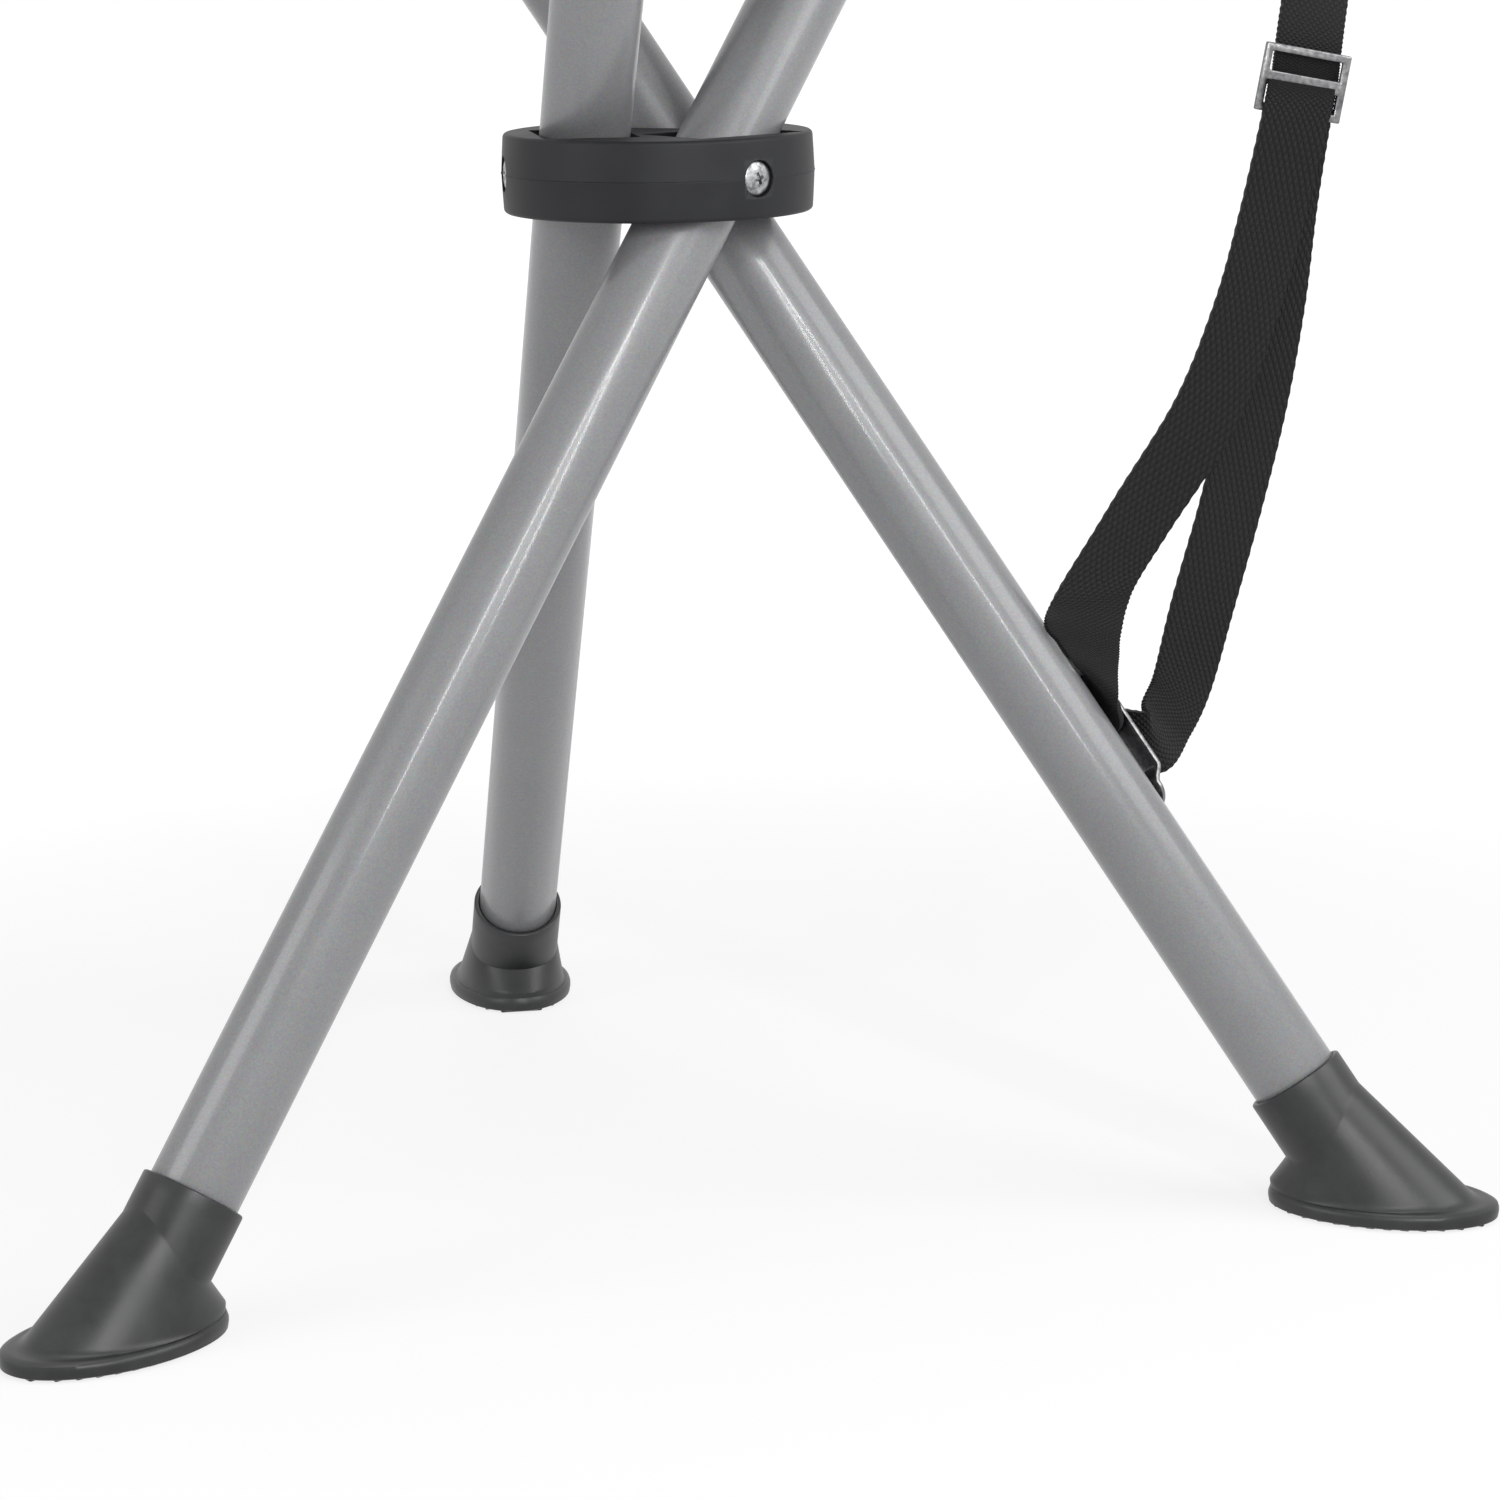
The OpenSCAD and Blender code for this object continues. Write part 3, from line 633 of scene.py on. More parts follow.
def makeScrews():
    head, height, rim = screwSizes["head"], screwSizes["height"], screwSizes["rim"]
    shank = screwSizes["shank"]
    profile = [(shank, -screwSizes["length"]), (shank, 0), (head, 0), (head, rim)]
    profile += [
        (head * math.cos(math.radians(a)), rim + (height - rim) * math.sin(math.radians(a)))
        for a in (15, 30, 45, 60, 75, 86)
    ]
    screw = growRings("pivotScrew_a", profile, 48)
    for turn in (20, 110):
        cutter = addBlock("cross", (screwSizes["wing"], screwSizes["slit"], 2 * screwSizes["depth"]))
        for vertex in cutter.data.vertices:
            if vertex.co.z < 0:
                vertex.co.x *= screwSizes["taper"]
        top = Matrix.Translation((0, 0, height))
        cutter.data.transform(top @ turned(turn))
        cutAway(screw, cutter)
    smooth(screw, 30)
    paint(screw, screwZinc)
    out = Vector((hubSizes["headSeat"] - stool["pivotRadius"], 0, 0))
    twins = [screw if leg == "a" else copyPiece(screw, f"pivotScrew_{leg}") for leg in legs]
    for twin, leg in zip(twins, legs):
        setDown(twin, legFrame(leg, tilted=False) @ Matrix.Translation(out * mm) @ sideways)
        rideOn(twin, "hub", "screw_zinc", f"pivot_screw_{leg}")


makeScrews()
print("screws turned")

footSizes = {
    "halfLength": 32.5, "halfWidth": 20, "collar": 14.3, "reach": 44.5, "crease": (27.8, 3.6, 2.9),
    "ribPitch": 4.7, "ribs": 6, "ribHeight": 1.8, "ribWidth": 2.9, "ribInset": 2, "ribRound": 0.55,
    "slope": (0.12, 0.3, 0.5, 0.7, 0.88, 0.975),  # shares of the way from the sole to the crease
    "fade": [(0.4, 0.97), (2.5, 0.8)],  # above the crease: rise, and what is left of its shape
    "rim": [(4, 0), (0.7, 0), (0.25, 0.1), (0, 0.45)],  # of the collar: down from its top, drawn in
    # rings of the sole, upwards: in from its length, in from its width, towards the heel, height
    "sole": [
        (2.2, 2.2, 0, 0.7), (0.9, 0.9, 0, 0.7), (0.25, 0.25, 0, 1.1), (0, 0, 0, 2.5), (0, 0, 0, 3.5),
        (0.3, 0.3, 0, 4.4), (1, 1, 0.5, 5.0), (1.8, 1.6, 1.2, 5.2), (2.6, 2, 2, 5.15),
        (3.3, 2.3, 2.7, 5.5), (3.9, 2.6, 3.4, 6.1), (4.2, 2.8, 3.8, 6.9),
    ],
}


def soleRing(inLength, inWidth, shift, height):
    length, width = footSizes["halfLength"] - inLength, footSizes["halfWidth"] - inWidth
    return lambda a: Vector((width * math.sin(a), shift - length * math.cos(a), height))


def collarRing(along, lean=0, dip=0, inset=0):
    radius = footSizes["collar"] - inset

    def ring(a):
        up = along + lean * math.cos(a) + dip * math.cos(2 * a)
        back = -radius * math.cos(a)
        return Vector((
            radius * math.sin(a),
            back * math.cos(tilt) + up * math.sin(tilt),
            up * math.cos(tilt) - back * math.sin(tilt)))
    return ring


def betweenRings(low, high, share):
    return lambda a: low(a).lerp(high(a), share)


def makeFoot():
    mean, lean, dip = footSizes["crease"]
    crease = collarRing(mean, lean, dip)
    reach = footSizes["reach"]
    socket = footSizes["collar"] - stool["tubeRadius"] - 0.05
    rings = [soleRing(*sizes) for sizes in footSizes["sole"]]
    skirt = rings[-1]
    rings += [betweenRings(skirt, crease, share) for share in footSizes["slope"]] + [crease]
    rings += [collarRing(mean + up, lean * left, dip * left) for up, left in footSizes["fade"]]
    rings += [collarRing(reach - down, inset=inset) for down, inset in footSizes["rim"]]
    rings += [collarRing(reach, inset=socket - 0.4), collarRing(reach - 0.4, inset=socket)]
    rings += [collarRing(reach - 6, inset=socket), collarRing(stool["footFloor"], inset=socket)]
    foot = growShaped("foot_a", rings, 96)
    bars = [foot]
    for i in range(-footSizes["ribs"], footSizes["ribs"] + 1):
        along = i * footSizes["ribPitch"]
        share = along / (footSizes["halfLength"] - footSizes["ribInset"])
        reachOut = math.sqrt(1 - share ** 2) * (footSizes["halfWidth"] - footSizes["ribInset"])
        size = (2 * reachOut, footSizes["ribWidth"], footSizes["ribHeight"])
        bars.append(addBlock("rib", size, (0, along, footSizes["ribHeight"] / 2)))
        bpy.ops.object.mode_set(mode="EDIT")
        bpy.ops.mesh.bevel(offset=footSizes["ribRound"], segments=3)
        bpy.ops.object.mode_set(mode="OBJECT")
    foot = joinPieces(bars)
    smooth(foot, 38)
    paint(foot, footRubber)
    out = Vector((0, -stool["lowLength"] * math.sin(tilt), -stool["lowLength"] * math.cos(tilt)))
    twins = [foot if leg == "a" else copyPiece(foot, f"foot_{leg}") for leg in legs]
    for twin, leg in zip(twins, legs):
        setDown(twin, legFrame(leg, tilted=False) @ Matrix.Translation(out * mm))
        rideOn(twin, f"leg_{leg}", "foot_rubber", f"foot_{leg}")


makeFoot()
print("feet moulded")


# how far the bracket's strip stands off the tube, at a height along it
def stripRise(height):
    share = (bracketSizes["foot"] - abs(height)) / (bracketSizes["foot"] - bracketSizes["flat"])
    share = max(0, min(1, share))
    return bracketSizes["rise"] * share * share * (3 - 2 * share)


def makeBracket():
    half, endRound, crowd = bracketSizes["half"], bracketSizes["endRound"], bracketSizes["crowd"]

    def strip(u, v):
        height = half * (crowd * math.sin(math.pi * (v - 0.5)) + (1 - crowd) * (2 * v - 1))
        past = max(0, abs(height) - (half - endRound)) / endRound
        width = bracketSizes["width"] / 2 * math.sqrt(1 - bracketSizes["endShape"] * past * past)
        out = stool["tubeRadius"] + bracketSizes["thick"] / 2 + stripRise(height)
        return Vector((out, (2 * u - 1) * width, height))
    bracket = layGrid("strapBracket", 6, 110, strip, mapSize=(bracketSizes["width"], 2 * half))
    applyModifier(bracket, "SOLIDIFY", thickness=bracketSizes["thick"], offset=0)
    roundEdges(bracket, bracketSizes["edge"], degrees=50)
    turn = turned(bracketSizes["turn"])
    for side, name in ((1, "upper"), (-1, "lower")):
        at = Vector((0, 0, side * bracketSizes["rivetOff"]))
        outside = Matrix.Translation(at + Vector((stool["tubeRadius"], 0, 0)))
        drill(bracket, tubeSizes["rivetHole"], 2 * stool["tubeRadius"], outside @ sideways)
        rivet = growRings(f"bracketRivet_{name}", bracketSizes["rivet"], 32)
        smooth(rivet, 40)
        paint(rivet, stripSteel)
        out = Matrix.Translation(Vector((stool["tubeRadius"], 0, at.z - bracketSizes["at"])) * mm)
        setDown(rivet, legFrame("b") @ turn @ out @ sideways)
        rideOn(rivet, "leg_b", "rivet_steel", f"bracket_rivet_{name}")
    smooth(bracket, 40)
    paint(bracket, stripSteel)
    down = Matrix.Translation(Vector((0, 0, -bracketSizes["at"])) * mm)
    setDown(bracket, legFrame("b") @ turn @ down)
    rideOn(bracket, "leg_b", "bracket_steel", "strap_bracket")


makeBracket()
print("bracket bent")

strapSizes = {
    "width": 20, "thick": 1.6, "trim": 0.1, "rowPitch": 0.55, "scallop": 0.12, "edgeRound": 0.45,
    "slanted": (5.2, 18), "stillDown": 200, "loopEnd": (178, 13, 0),
    "tailStart": (181, 16, 22.5), "tailEnd": (194, 97, 185),
}


# a place in metres, from one in millimetres from the hub
def fromHub(place):
    return hubCentre + Vector(place) * mm


# a place round a leg, from the hub: out from the tube's axis, bearing round it, down from the pivot
def onLeg(leg, out, turn, down):
    local = Vector((out * math.cos(math.radians(turn)), out * math.sin(math.radians(turn)), -down))
    return (legFrame(leg) @ (local * mm) - hubCentre) / mm


# a strap through a list of middles, with its way across at each: squared to the run, but kept as it is
# given between the two places of slanted
def makeStrap(name, mids, ways, slanted=(0, 0)):
    mids = [Vector(p) for p in mids]
    ways = [Vector(p) for p in ways]
    fine = 8 * (len(mids) - 1)
    length = sum(
        (curvePoint(mids, (i + 1) / fine) - curvePoint(mids, i / fine)).length for i in range(fine))
    rows = int(length / strapSizes["rowPitch"])

    def ribbon(u, v):
        here = curvePoint(mids, v)
        along = (curvePoint(mids, min(1, v + 0.004)) - curvePoint(mids, max(0, v - 0.004))).normalized()
        way = curvePoint(ways, v) / strapSizes["width"]
        row = v * (len(mids) - 1)
        share = min(1, max(0, row - slanted[0])) * min(1, max(0, slanted[1] - row))
        side = (way - way.dot(along) * along).normalized().lerp(way, share)
        wave = math.sin(2 * math.pi * v * length / webbingYarn["along"])
        scallop = strapSizes["scallop"] * wave * abs(2 * u - 1) ** 8
        return here + side * (2 * u - 1) * (strapSizes["width"] / 2 - strapSizes["trim"] + scallop)
    strap = layGrid(name, 10, rows, ribbon, mapSize=(strapSizes["width"], length))
    applyModifier(strap, "SOLIDIFY", thickness=strapSizes["thick"] - strapSizes["trim"], offset=0)
    roundEdges(strap, strapSizes["edgeRound"])
    smooth(strap, 60)
    paint(strap, webbing)
    setDown(strap, hubFrame())
    return strap, length


def makeStraps():
    # the two edges of the strap where it goes round the bracket, on the tube and just above it
    edges = [
        (Vector((111.1, -7, -118.4)), Vector((132.9, 3, -121))),
        (onLeg("b", 13.9, -95, 164), Vector((128.9, -4.9, -131.4))),
        (onLeg("b", 13.8, -95, 170.5), Vector((128, -8.9, -137.5))),
        (onLeg("b", 13.8, -93, 176.5), Vector((127.3, -13, -142.1))),
    ]
    edges += [(onLeg("b", *left), onLeg("b", *right)) for left, right in (
        ((14.2, -74, 181), (17.6, -78, 194)), ((14.8, -48, 182.5), (15.4, -60, 199.5)),
        ((14.9, -22, 182), (15.1, -34, 201.5)), ((15, -2, 182), (15, -8, 202.5)),
        ((15.6, 16, 183), (15.6, 13, 204)), ((18.4, 24, 185), (18.4, 24, 206)),
        ((21, 14, 187.5), (21, 14, 208.5)), ((21.3, -12, 191.5), (21.3, -12, 212.5)),
    )]
    mids = [
        (180.1, 11.9, 21), (178.6, 11.6, 12.7), (172.5, 12.8, -15.2), (165.2, 12, -42.4),
        (153.7, 9, -71.1), (135.5, 4, -99), *((left + right) / 2 for left, right in edges),
        (138.7, -2, -163.6), (143.1, 5, -158.1), (148.1, 10, -148.8), (153.9, 12, -126.9),
        (162.1, 15, -97.9), (168.8, 17, -69.1), (173.3, 17.5, -40.4), (176.3, 17, -12.1),
        (179.7, 16, 12.7), (181.2, 16, 21)
    ]
    ways = [
        (19.1, 5, -4), (19.1, 5, -3.4), (17.3, 6, -8.1), (17.9, 6, -6.4), (17.7, 4.6, -8.2),
        (16.2, 6, -8.8), *(right - left for left, right in edges),
        (9, 6, -17), (14, 8, -12), (16, 8, -8), (18, 7, -4), (18.3, 7.6, -2.5),
        (18.8, 6.5, -1.7), (19.3, 5, -2), (18.9, 5, -3), (19.4, 5, -3.6), (19.4, 5, -3.8)
    ]
    lower, lowerLength = makeStrap("strapLoop", mids, ways, strapSizes["slanted"])
    still = legFrame("b") @ (Vector((0, 0, -strapSizes["stillDown"])) * mm)
    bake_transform(lower, "leg_b", "hub", still, fromHub(strapSizes["loopEnd"]))
    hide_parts("strap_lower")

    # the tail goes up past the seat's corner and down the outside of the pocket over leg a
    face = stool["tubeRadius"] + 2 * stool["softGap"] + stool["pocketWall"] + strapSizes["thick"] / 2
    outward = cornerWay("a")
    across = strapSizes["width"] * Vector((-outward.y, outward.x, 0))
    tip = outward * tipRadius + Vector((0, 0, tipUp))
    top = stool["topLength"]
    mids = [
        (181.4, 16, 22.5), (183.6, 19.6, 38), (191, 40, 74), (197, 70, 122), (194, 97, 167),
        tip + 60 * outward + Vector((2, 0, -16)), tip + 50 * outward + Vector((0, 0, -3)),
        tip + 36 * outward + Vector((0, 0, 1.5)),
        onLeg("a", face + 2.4, 90, 4 - top), onLeg("a", face, 90, 14 - top), onLeg("a", face, 90, 40 - top)
    ]
    ways = [
        (19.4, 5, -3.8), (19, 6, -3.6), (16, 10, -3), (12, 15, -1), (3, 19, 0),
        across, across, across, across, across, across
    ]
    upper, upperLength = makeStrap("strapTail", mids, ways)
    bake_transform(upper, "hub", "leg_a", fromHub(strapSizes["tailStart"]), fromHub(strapSizes["tailEnd"]))
    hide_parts("strap_upper")
    print("strap lengths in mm:", round(lowerLength), round(upperLength))


makeStraps()

sliderSizes = {
    "plate": (26, 1.6, 19), "window": (21.4, 6, 5.4), "windowOff": 4.6, "edge": 0.5,
    "at": (180.6, 14.1, 21.2), "lean": 11, "turn": 14.7,
}


def makeSlider():
    slider = addBlock("strapSlider", sliderSizes["plate"])
    for side in (-1, 1):
        cutAway(slider, addBlock("window", sliderSizes["window"], (0, 0, side * sliderSizes["windowOff"])))
    roundEdges(slider, sliderSizes["edge"], 3, 50)
    smooth(slider, 40)
    paint(slider, stripSteel)
    place = Matrix.Translation(fromHub(sliderSizes["at"]))
    setDown(slider, place @ turned(sliderSizes["turn"]) @ turned(sliderSizes["lean"], "Y"))
    rideOn(slider, "hub", "slider_steel", "strap_slider")


makeSlider()
print("straps laid")

seatSizes = {
    "cornerReach": 30, "sag": 11, "bow": 7, "panel": 1.4, "thick": 1.1, "lift": 0.15, "trim": 0.018,
    "flatReach": 26, "fallReach": 48, "creases": 11, "creaseRise": 0.275, "creaseAt": 52,
    "creaseReach": 24, "cells": 44, "flat": (0.151, 0.187), "area": 0.0146,
}
cornerRadius = tipRadius + seatSizes["cornerReach"]
seatHeight = (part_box("seat_panel")[1].z - hubCentre.z) / mm - seatSizes["panel"]
nextLeg = {"a": "b", "b": "c", "c": "a"}


def corner(leg):
    return cornerWay(leg) * cornerRadius


# a point of the seat's outline from one corner to the next, drawn in by the bow
def outline(leg, share):
    point = corner(leg).lerp(corner(nextLeg[leg]), share)
    return point * (1 - seatSizes["bow"] * 4 * share * (1 - share) / point.length)


# the seat's surface over a flat place: it sags in the middle, and fine creases run to each corner
def seatPoint(flat, lift=0.0):
    fall = seatSizes["sag"] * (1 - 0.5 * (flat.length / cornerRadius) ** 2)
    crease = 0.0
    for leg in legs:
        off = flat - cornerWay(leg) * tipRadius
        reach = max(0, off.length - seatSizes["flatReach"])
        fall *= 1 - math.exp(-(reach / seatSizes["fallReach"]) ** 2)
        bearing = off.xy.angle_signed(cornerWay(leg).xy, 0) if off.length > 1e-6 else 0
        fade = math.exp(-((off.length - seatSizes["creaseAt"]) / seatSizes["creaseReach"]) ** 2)
        crease += seatSizes["creaseRise"] * math.cos(seatSizes["creases"] * bearing) * fade
    past = max(0, flat.length - tipRadius) / seatSizes["cornerReach"]
    return Vector((flat.x, flat.y, seatHeight - fall * (1 - min(1, past)) + crease + lift))


# a third of the seat: from the middle to the two half sides that meet at a corner
def kitePoint(leg, s, t):
    before = next(other for other in legs if nextLeg[other] == leg)
    trim = seatSizes["trim"]

    def sideOne(x):
        return outline(leg, 0.5 * (1 - x) + trim * x)

    def sideTwo(x):
        return outline(before, 0.5 + (0.5 - trim) * x)
    return t * sideTwo(s) + s * sideOne(t) - s * t * (sideOne(1) + sideTwo(1)) / 2


foldSizes = {"still": 46, "carried": 140}


# lets a piece of the seat fold between the hub and a leg
def foldWith(piece, leg, slotName, *replaced):
    way = cornerWay(leg)
    level = Vector((0, 0, hubCentre.z + seatHeight * mm))
    base = Vector((hubCentre.x, hubCentre.y, 0)) + level
    still, carried = (base + way * foldSizes[end] * mm for end in ("still", "carried"))
    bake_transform(piece, "hub", f"leg_{leg}", still, carried)
    if replaced:
        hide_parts(*replaced)


def makeSeatThird(leg):
    def sheet(u, v):
        return seatPoint(kitePoint(leg, u, v), seatSizes["lift"])

    def flatMap(u, v):
        flat = kitePoint(leg, u, v)
        return (flat.x, flat.y)
    cells = seatSizes["cells"]
    third = layGrid(f"seatThird_{leg}", cells, cells, sheet, mapPoint=flatMap)
    applyModifier(third, "SOLIDIFY", thickness=seatSizes["thick"], offset=1)
    smooth(third, 50)
    paint(third, seatCloth)
    setDown(third, hubFrame())
    foldWith(third, leg, "seat_fabric", "seat_panel")
    return third


tapeSizes = {
    "width": 11, "thick": 0.55, "endShare": 0.055, "wrap": 1.3, "nose": 0.9, "inset": 0.5, "half": 1.05,
    "lift": 0.7, "map": (26, 150), "stitchRows": (2.7, 9.1), "stitchRise": 1.6,
}


# a tape folded over the edge of the seat, from the corner to the middle of a side
def makeTape(side, first):
    owner = side if first else nextLeg[side]
    reach = (tapeSizes["endShare"], 0.5) if first else (0.5, 1 - tapeSizes["endShare"])
    wrap, inset, half = tapeSizes["wrap"], tapeSizes["inset"], tapeSizes["half"]

    def tape(u, v):
        share = reach[0] + (reach[1] - reach[0]) * v
        edge = outline(side, share)
        inward = -edge.normalized()
        ahead = (outline(side, min(1, share + 0.01)) - outline(side, max(0, share - 0.01))).normalized()
        inward = (inward - inward.dot(ahead) * ahead).normalized()
        angle = math.pi * (2 * u - 1) * wrap
        if abs(angle) < math.pi / 2:
            depth, height = inset - tapeSizes["nose"] * math.cos(angle), half * math.sin(angle)
        else:
            past = (abs(angle) / math.pi - 0.5) / (wrap - 0.5)
            depth, height = inset + past * tapeSizes["width"], math.copysign(half, angle)
        point = seatPoint(edge + inward * max(0, depth))
        flat = edge + inward * depth
        return Vector((flat.x, flat.y, point.z + tapeSizes["lift"] + height))
    part = "first" if first else "second"
    piece = layGrid(f"tape_{side}{nextLeg[side]}_{part}", 26, 60, tape, mapSize=tapeSizes["map"])
    applyModifier(piece, "SOLIDIFY", thickness=tapeSizes["thick"], offset=1)
    smooth(piece, 60)
    paint(piece, tapeCloth)
    rows = []
    for face in (1, -1):
        rise = Vector((0, 0, tapeSizes["lift"] + face * tapeSizes["stitchRise"]))
        for rowIn in tapeSizes["stitchRows"]:
            line = []
            for i in range(41):
                edge = outline(side, reach[0] + (reach[1] - reach[0]) * i / 40)
                line.append((seatPoint(edge - edge.normalized() * rowIn) + rise, Vector((0, 0, face))))
            rows.append(line)
    stitches = sewStitches("stitches", rows)
    piece = joinPieces([piece, stitches])
    setDown(piece, hubFrame())
    foldWith(piece, owner, "binding_tape", f"binding_{side}{nextLeg[side]}")


pocketSizes = {
    "length": 46, "wave": 0.35, "waves": 5, "twist": 0.35, "calmAbove": 6, "below": 0.4,
    # the hem, as up from the sleeve's lower edge and out from the sleeve
    "hem": [(0, -1.0), (0, 0.3), (1, 0.75), (8, 0.7), (9, 0.1)], "stitchRows": (2.4, 6.2),
    # the widening top, as a share of the way out to the patch and the drop under the seat
    "top": [(0.45, 3.2), (0.8, 1.4), (1, 0.6), (1, 0)], "topTip": 25, "topSide": 14.2, "topBack": 11.8,
    "sleeve": (30, 24, 18, 12, 6, 2),  # its other rings, down from the leg's tip
}


# a sleeve over the end of a leg, sewn to a three-sided patch at the corner of the seat
def makePocket(leg):
    radius = stool["tubeRadius"] + stool["softGap"] + stool["pocketWall"]
    length = pocketSizes["length"]
    fromLeg = hubFrame().inverted() @ legFrame(leg)
    topHeight = seatHeight - pocketSizes["below"]

    def sleeveRing(down, flare):
        def ring(a):
            calm = 0.4 if down < pocketSizes["calmAbove"] else 1
            turn = pocketSizes["waves"] * a + down * pocketSizes["twist"]
            r = radius + flare + pocketSizes["wave"] * math.sin(turn) * calm
            local = Vector((r * math.sin(a), -r * math.cos(a), stool["topLength"] - down))
            return (fromLeg @ (local * mm)) / mm
        return ring

    def topRing(share, drop):
        way = cornerWay(leg)
        across = Vector((-way.y, way.x, 0))

        def ring(a):
            low = sleeveRing(-1, 0)(a)
            flatOut = low - way * tipRadius
            x, y = flatOut.dot(way), flatOut.dot(across)
            bearing = math.atan2(y, x)
            reach = min(
                pocketSizes["topTip"],
                pocketSizes["topSide"] / max(0.05, math.cos(bearing - math.pi / 3)),
                pocketSizes["topSide"] / max(0.05, math.cos(bearing + math.pi / 3)),
                pocketSizes["topBack"] / max(0.05, -math.cos(bearing)))
            edge = way * (tipRadius + reach * math.cos(bearing)) + across * reach * math.sin(bearing)
            edge.z = topHeight - drop
            low.z = min(low.z, topHeight - drop)
            return low.lerp(edge, share)
        return ring
    rings = [sleeveRing(length - up, flare) for up, flare in pocketSizes["hem"]]
    rings += [sleeveRing(down, 0) for down in pocketSizes["sleeve"]]
    rings += [topRing(share, drop) for share, drop in pocketSizes["top"]]
    pocket = growShaped(f"seatPocket_{leg}", rings, 72)
    pocket.data.uv_layers.new(name="cloth")
    layer = pocket.data.uv_layers["cloth"].data
    for loop in pocket.data.loops:
        point = pocket.data.vertices[loop.vertex_index].co - cornerWay(leg) * tipRadius
        layer[loop.index].uv = (math.atan2(point.y, point.x) * radius, point.z)
    smooth(pocket, 50)
    paint(pocket, seatCloth)
    rows = []
    flare = max(flare for up, flare in pocketSizes["hem"])
    for down in (length - up for up in pocketSizes["stitchRows"]):
        ring = sleeveRing(down, flare)
        line = []
        for i in range(49):
            a = 2 * math.pi * i / 48
            out = (sleeveRing(down, 3)(a) - sleeveRing(down, 0)(a)).normalized()
            line.append((ring(a), out))
        rows.append(line)
    pocket = joinPieces([pocket, sewStitches("stitches", rows)])
    setDown(pocket, hubFrame())
    rideOn(pocket, f"leg_{leg}", "seat_fabric", f"seat_pocket_{leg}")


patchSizes = {
    "start": 152, "inset": 1.4, "narrowing": 2.6, "leastHalf": 0.6, "lift": 1.35, "thick": 0.7,
    "edge": 0.25, "stitchRows": (0.06, 0.16), "stitchEnd": 0.9, "stitchRise": 0.85,
}


# a second layer of cloth over each corner, with a double row of stitches
def makePatch(leg):
    way = cornerWay(leg)
    across = Vector((-way.y, way.x, 0))
    start = patchSizes["start"]
    end = cornerRadius * (1 - seatSizes["trim"])

    def flatPoint(u, v):
        out = start + (end - start) * v
        half = (cornerRadius - out) * math.tan(math.radians(30))
        half -= patchSizes["inset"] + patchSizes["narrowing"] * (1 - v)
        return way * out + across * (2 * u - 1) * max(patchSizes["leastHalf"], half)

    def patch(u, v):
        return seatPoint(flatPoint(u, v), patchSizes["lift"])

    def flatMap(u, v):
        flat = flatPoint(u, v)
        return (flat.x, flat.y)
    piece = layGrid(f"cornerPatch_{leg}", 20, 26, patch, mapPoint=flatMap)
    applyModifier(piece, "SOLIDIFY", thickness=patchSizes["thick"], offset=1)
    roundEdges(piece, patchSizes["edge"])
    smooth(piece, 60)
    paint(piece, seatCloth)
    up = Vector((0, 0, 1))
    rows = []
    last = patchSizes["stitchEnd"]
    for inset in patchSizes["stitchRows"]:
        corners = [(inset, last), (inset, inset * 0.8), (1 - inset, inset * 0.8), (1 - inset, last)]
        line = []
        for (u0, v0), (u1, v1) in zip(corners, corners[1:]):
            for i in range(12):
                u, v = u0 + (u1 - u0) * i / 12, v0 + (v1 - v0) * i / 12
                line.append((patch(u, v) + up * patchSizes["stitchRise"], up))
        rows.append(line)
    piece = joinPieces([piece, sewStitches("stitches", rows)])
    setDown(piece, hubFrame())
    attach(piece, f"leg_{leg}")


# each third is a sheet whose flat size is in metres
for leg in legs:
    third = makeSeatThird(leg)
    makeTape(leg, True)
    makeTape(leg, False)
    makePocket(leg)
    makePatch(leg)
print("seat sewn")

# plugs stay as the CAD has them, in the hub's nylon
for leg in legs:
    plug = nodes[f"leg_plug_{leg}"]
    paint(plug, hubNylon)

# the floor, in metres; its shadow fades out between two distances from the middle
stageSizes = {
    "half": 8.0, "shadowShare": 0.25, "fadeFrom": 0.25, "fadeTo": 0.8, "openFloor": 1.08,
    "worldLevel": 0.14,
}


# 1 for a ray from the camera, or one that a glossy or clear surface sends on
def seenRay(tree):
    path = addNode(tree, "ShaderNodeLightPath").outputs
    glossy = addNode(tree, "ShaderNodeMath", {
        0: path["Is Camera Ray"], 1: path["Is Glossy Ray"]}, operation="MAXIMUM")
    return addNode(tree, "ShaderNodeMath", {
        0: glossy.outputs[0], 1: path["Is Transmission Ray"]}, operation="MAXIMUM").outputs[0]


# pale floor: it takes the stool's shadow near by, and is plain white further out
def makeFloor():
    deselectAll()
    bpy.ops.mesh.primitive_plane_add(size=2 * stageSizes["half"])
    floor = takePiece("floor")
    material = newMaterial("paleFloor")
    place = addNode(material, "ShaderNodeTexCoord").outputs["Object"]
    reach = addNode(material, "ShaderNodeVectorMath", {0: place}, operation="LENGTH")
    share = addNode(material, "ShaderNodeMapRange", {
        "Value": reach.outputs["Value"],
        "From Min": stageSizes["fadeFrom"], "From Max": stageSizes["fadeTo"],
        "To Min": 1 - stageSizes["shadowShare"], "To Max": 1}, interpolation_type="SMOOTHSTEP")
    white = addNode(material, "ShaderNodeMath", {
        0: share.outputs[0], 1: seenRay(material)}, operation="MULTIPLY")
    pale = addNode(material, "ShaderNodeBsdfDiffuse", {"Color": linear("#f2f2f2")})
    plain = addNode(material, "ShaderNodeEmission", {"Strength": stageSizes["openFloor"]})
    shader = addNode(material, "ShaderNodeMixShader", {"Fac": white.outputs[0]})
    material.node_tree.links.new(pale.outputs[0], shader.inputs[1])
    material.node_tree.links.new(plain.outputs[0], shader.inputs[2])
    finishMaterial(material, shader)
    paint(floor, material)


makeFloor()


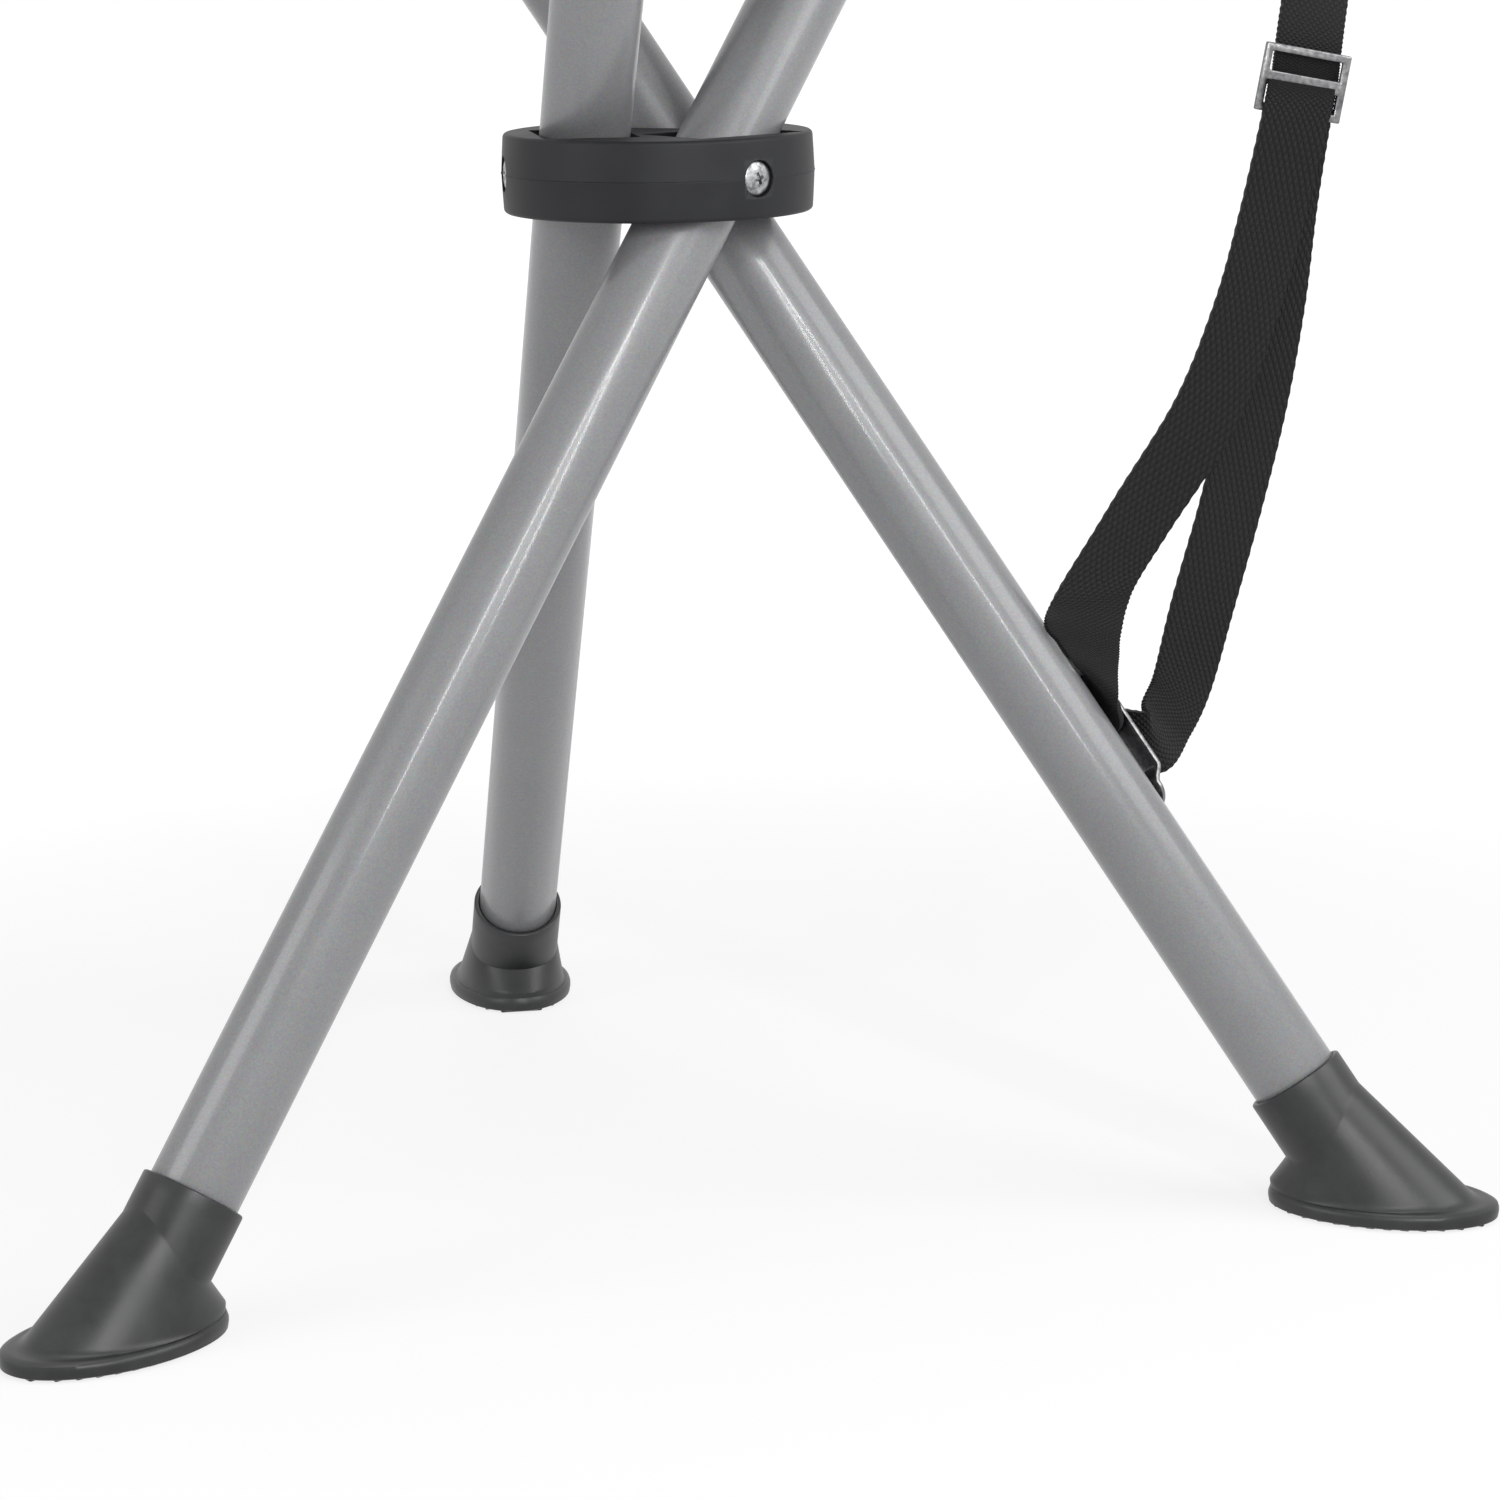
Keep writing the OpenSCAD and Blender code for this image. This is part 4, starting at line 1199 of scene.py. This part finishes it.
def makeWorld():
    world = bpy.data.worlds.new("studio")
    bpy.context.scene.world = world
    world.use_nodes = True
    world.node_tree.nodes.clear()
    level = stageSizes["worldLevel"]
    colour = addNode(world, "ShaderNodeMix", {
        "Factor": seenRay(world), "A": (level, level, level, 1), "B": (1, 1, 1, 1)}, data_type="RGBA")
    background = addNode(world, "ShaderNodeBackground", {"Color": colour.outputs["Result"]})
    addNode(world, "ShaderNodeOutputWorld", {"Surface": background.outputs[0]})


makeWorld()

# where each lamp stands, in metres; each faces the hub, and the strips are turned along the front legs
lamps = {
    "key": {"at": (0.40, -1.22, 0.95), "shape": "DISK", "size": (0.14, 0.14), "power": 1.6},
    "keyGlow": {"at": (0.42, -1.26, 0.93), "shape": "DISK", "size": (0.6, 0.6), "power": 1.0},
    "leftStrip": {
        "at": (0.138, -1.24, 0.695), "shape": "RECTANGLE", "size": (0.06, 0.5),
        "power": 2.8, "roll": -31.4},
    "rightStrip": {
        "at": (0.58, -1.24, 0.642), "shape": "RECTANGLE", "size": (0.06, 0.5),
        "power": 2.8, "roll": 18.5},
    "left": {"at": (-1.14, -0.72, 0.58), "shape": "RECTANGLE", "size": (0.75, 0.45), "power": 3.5},
    "right": {"at": (1.22, -0.46, 0.93), "shape": "RECTANGLE", "size": (1.0, 0.8), "power": 9},
    "top": {"at": (0.0, 0.0, 1.9), "shape": "RECTANGLE", "size": (1.0, 1.0), "power": 8},
}


def makeLamp(name, sizes):
    light = bpy.data.lights.new(name, "AREA")
    light.shape = sizes["shape"]
    light.size, light.size_y = sizes["size"]
    light.energy = sizes["power"]
    lamp = bpy.data.objects.new(name, light)
    bpy.context.scene.collection.objects.link(lamp)
    lamp.location = sizes["at"]
    facing = (hubCentre - lamp.location).to_track_quat("-Z", "Y")
    roll = Quaternion((0, 0, 1), math.radians(sizes.get("roll", 0)))
    lamp.rotation_euler = (facing @ roll).to_euler()


for name, sizes in lamps.items():
    makeLamp(name, sizes)
bpy.context.scene.view_settings.view_transform = "Standard"
print("studio lit")
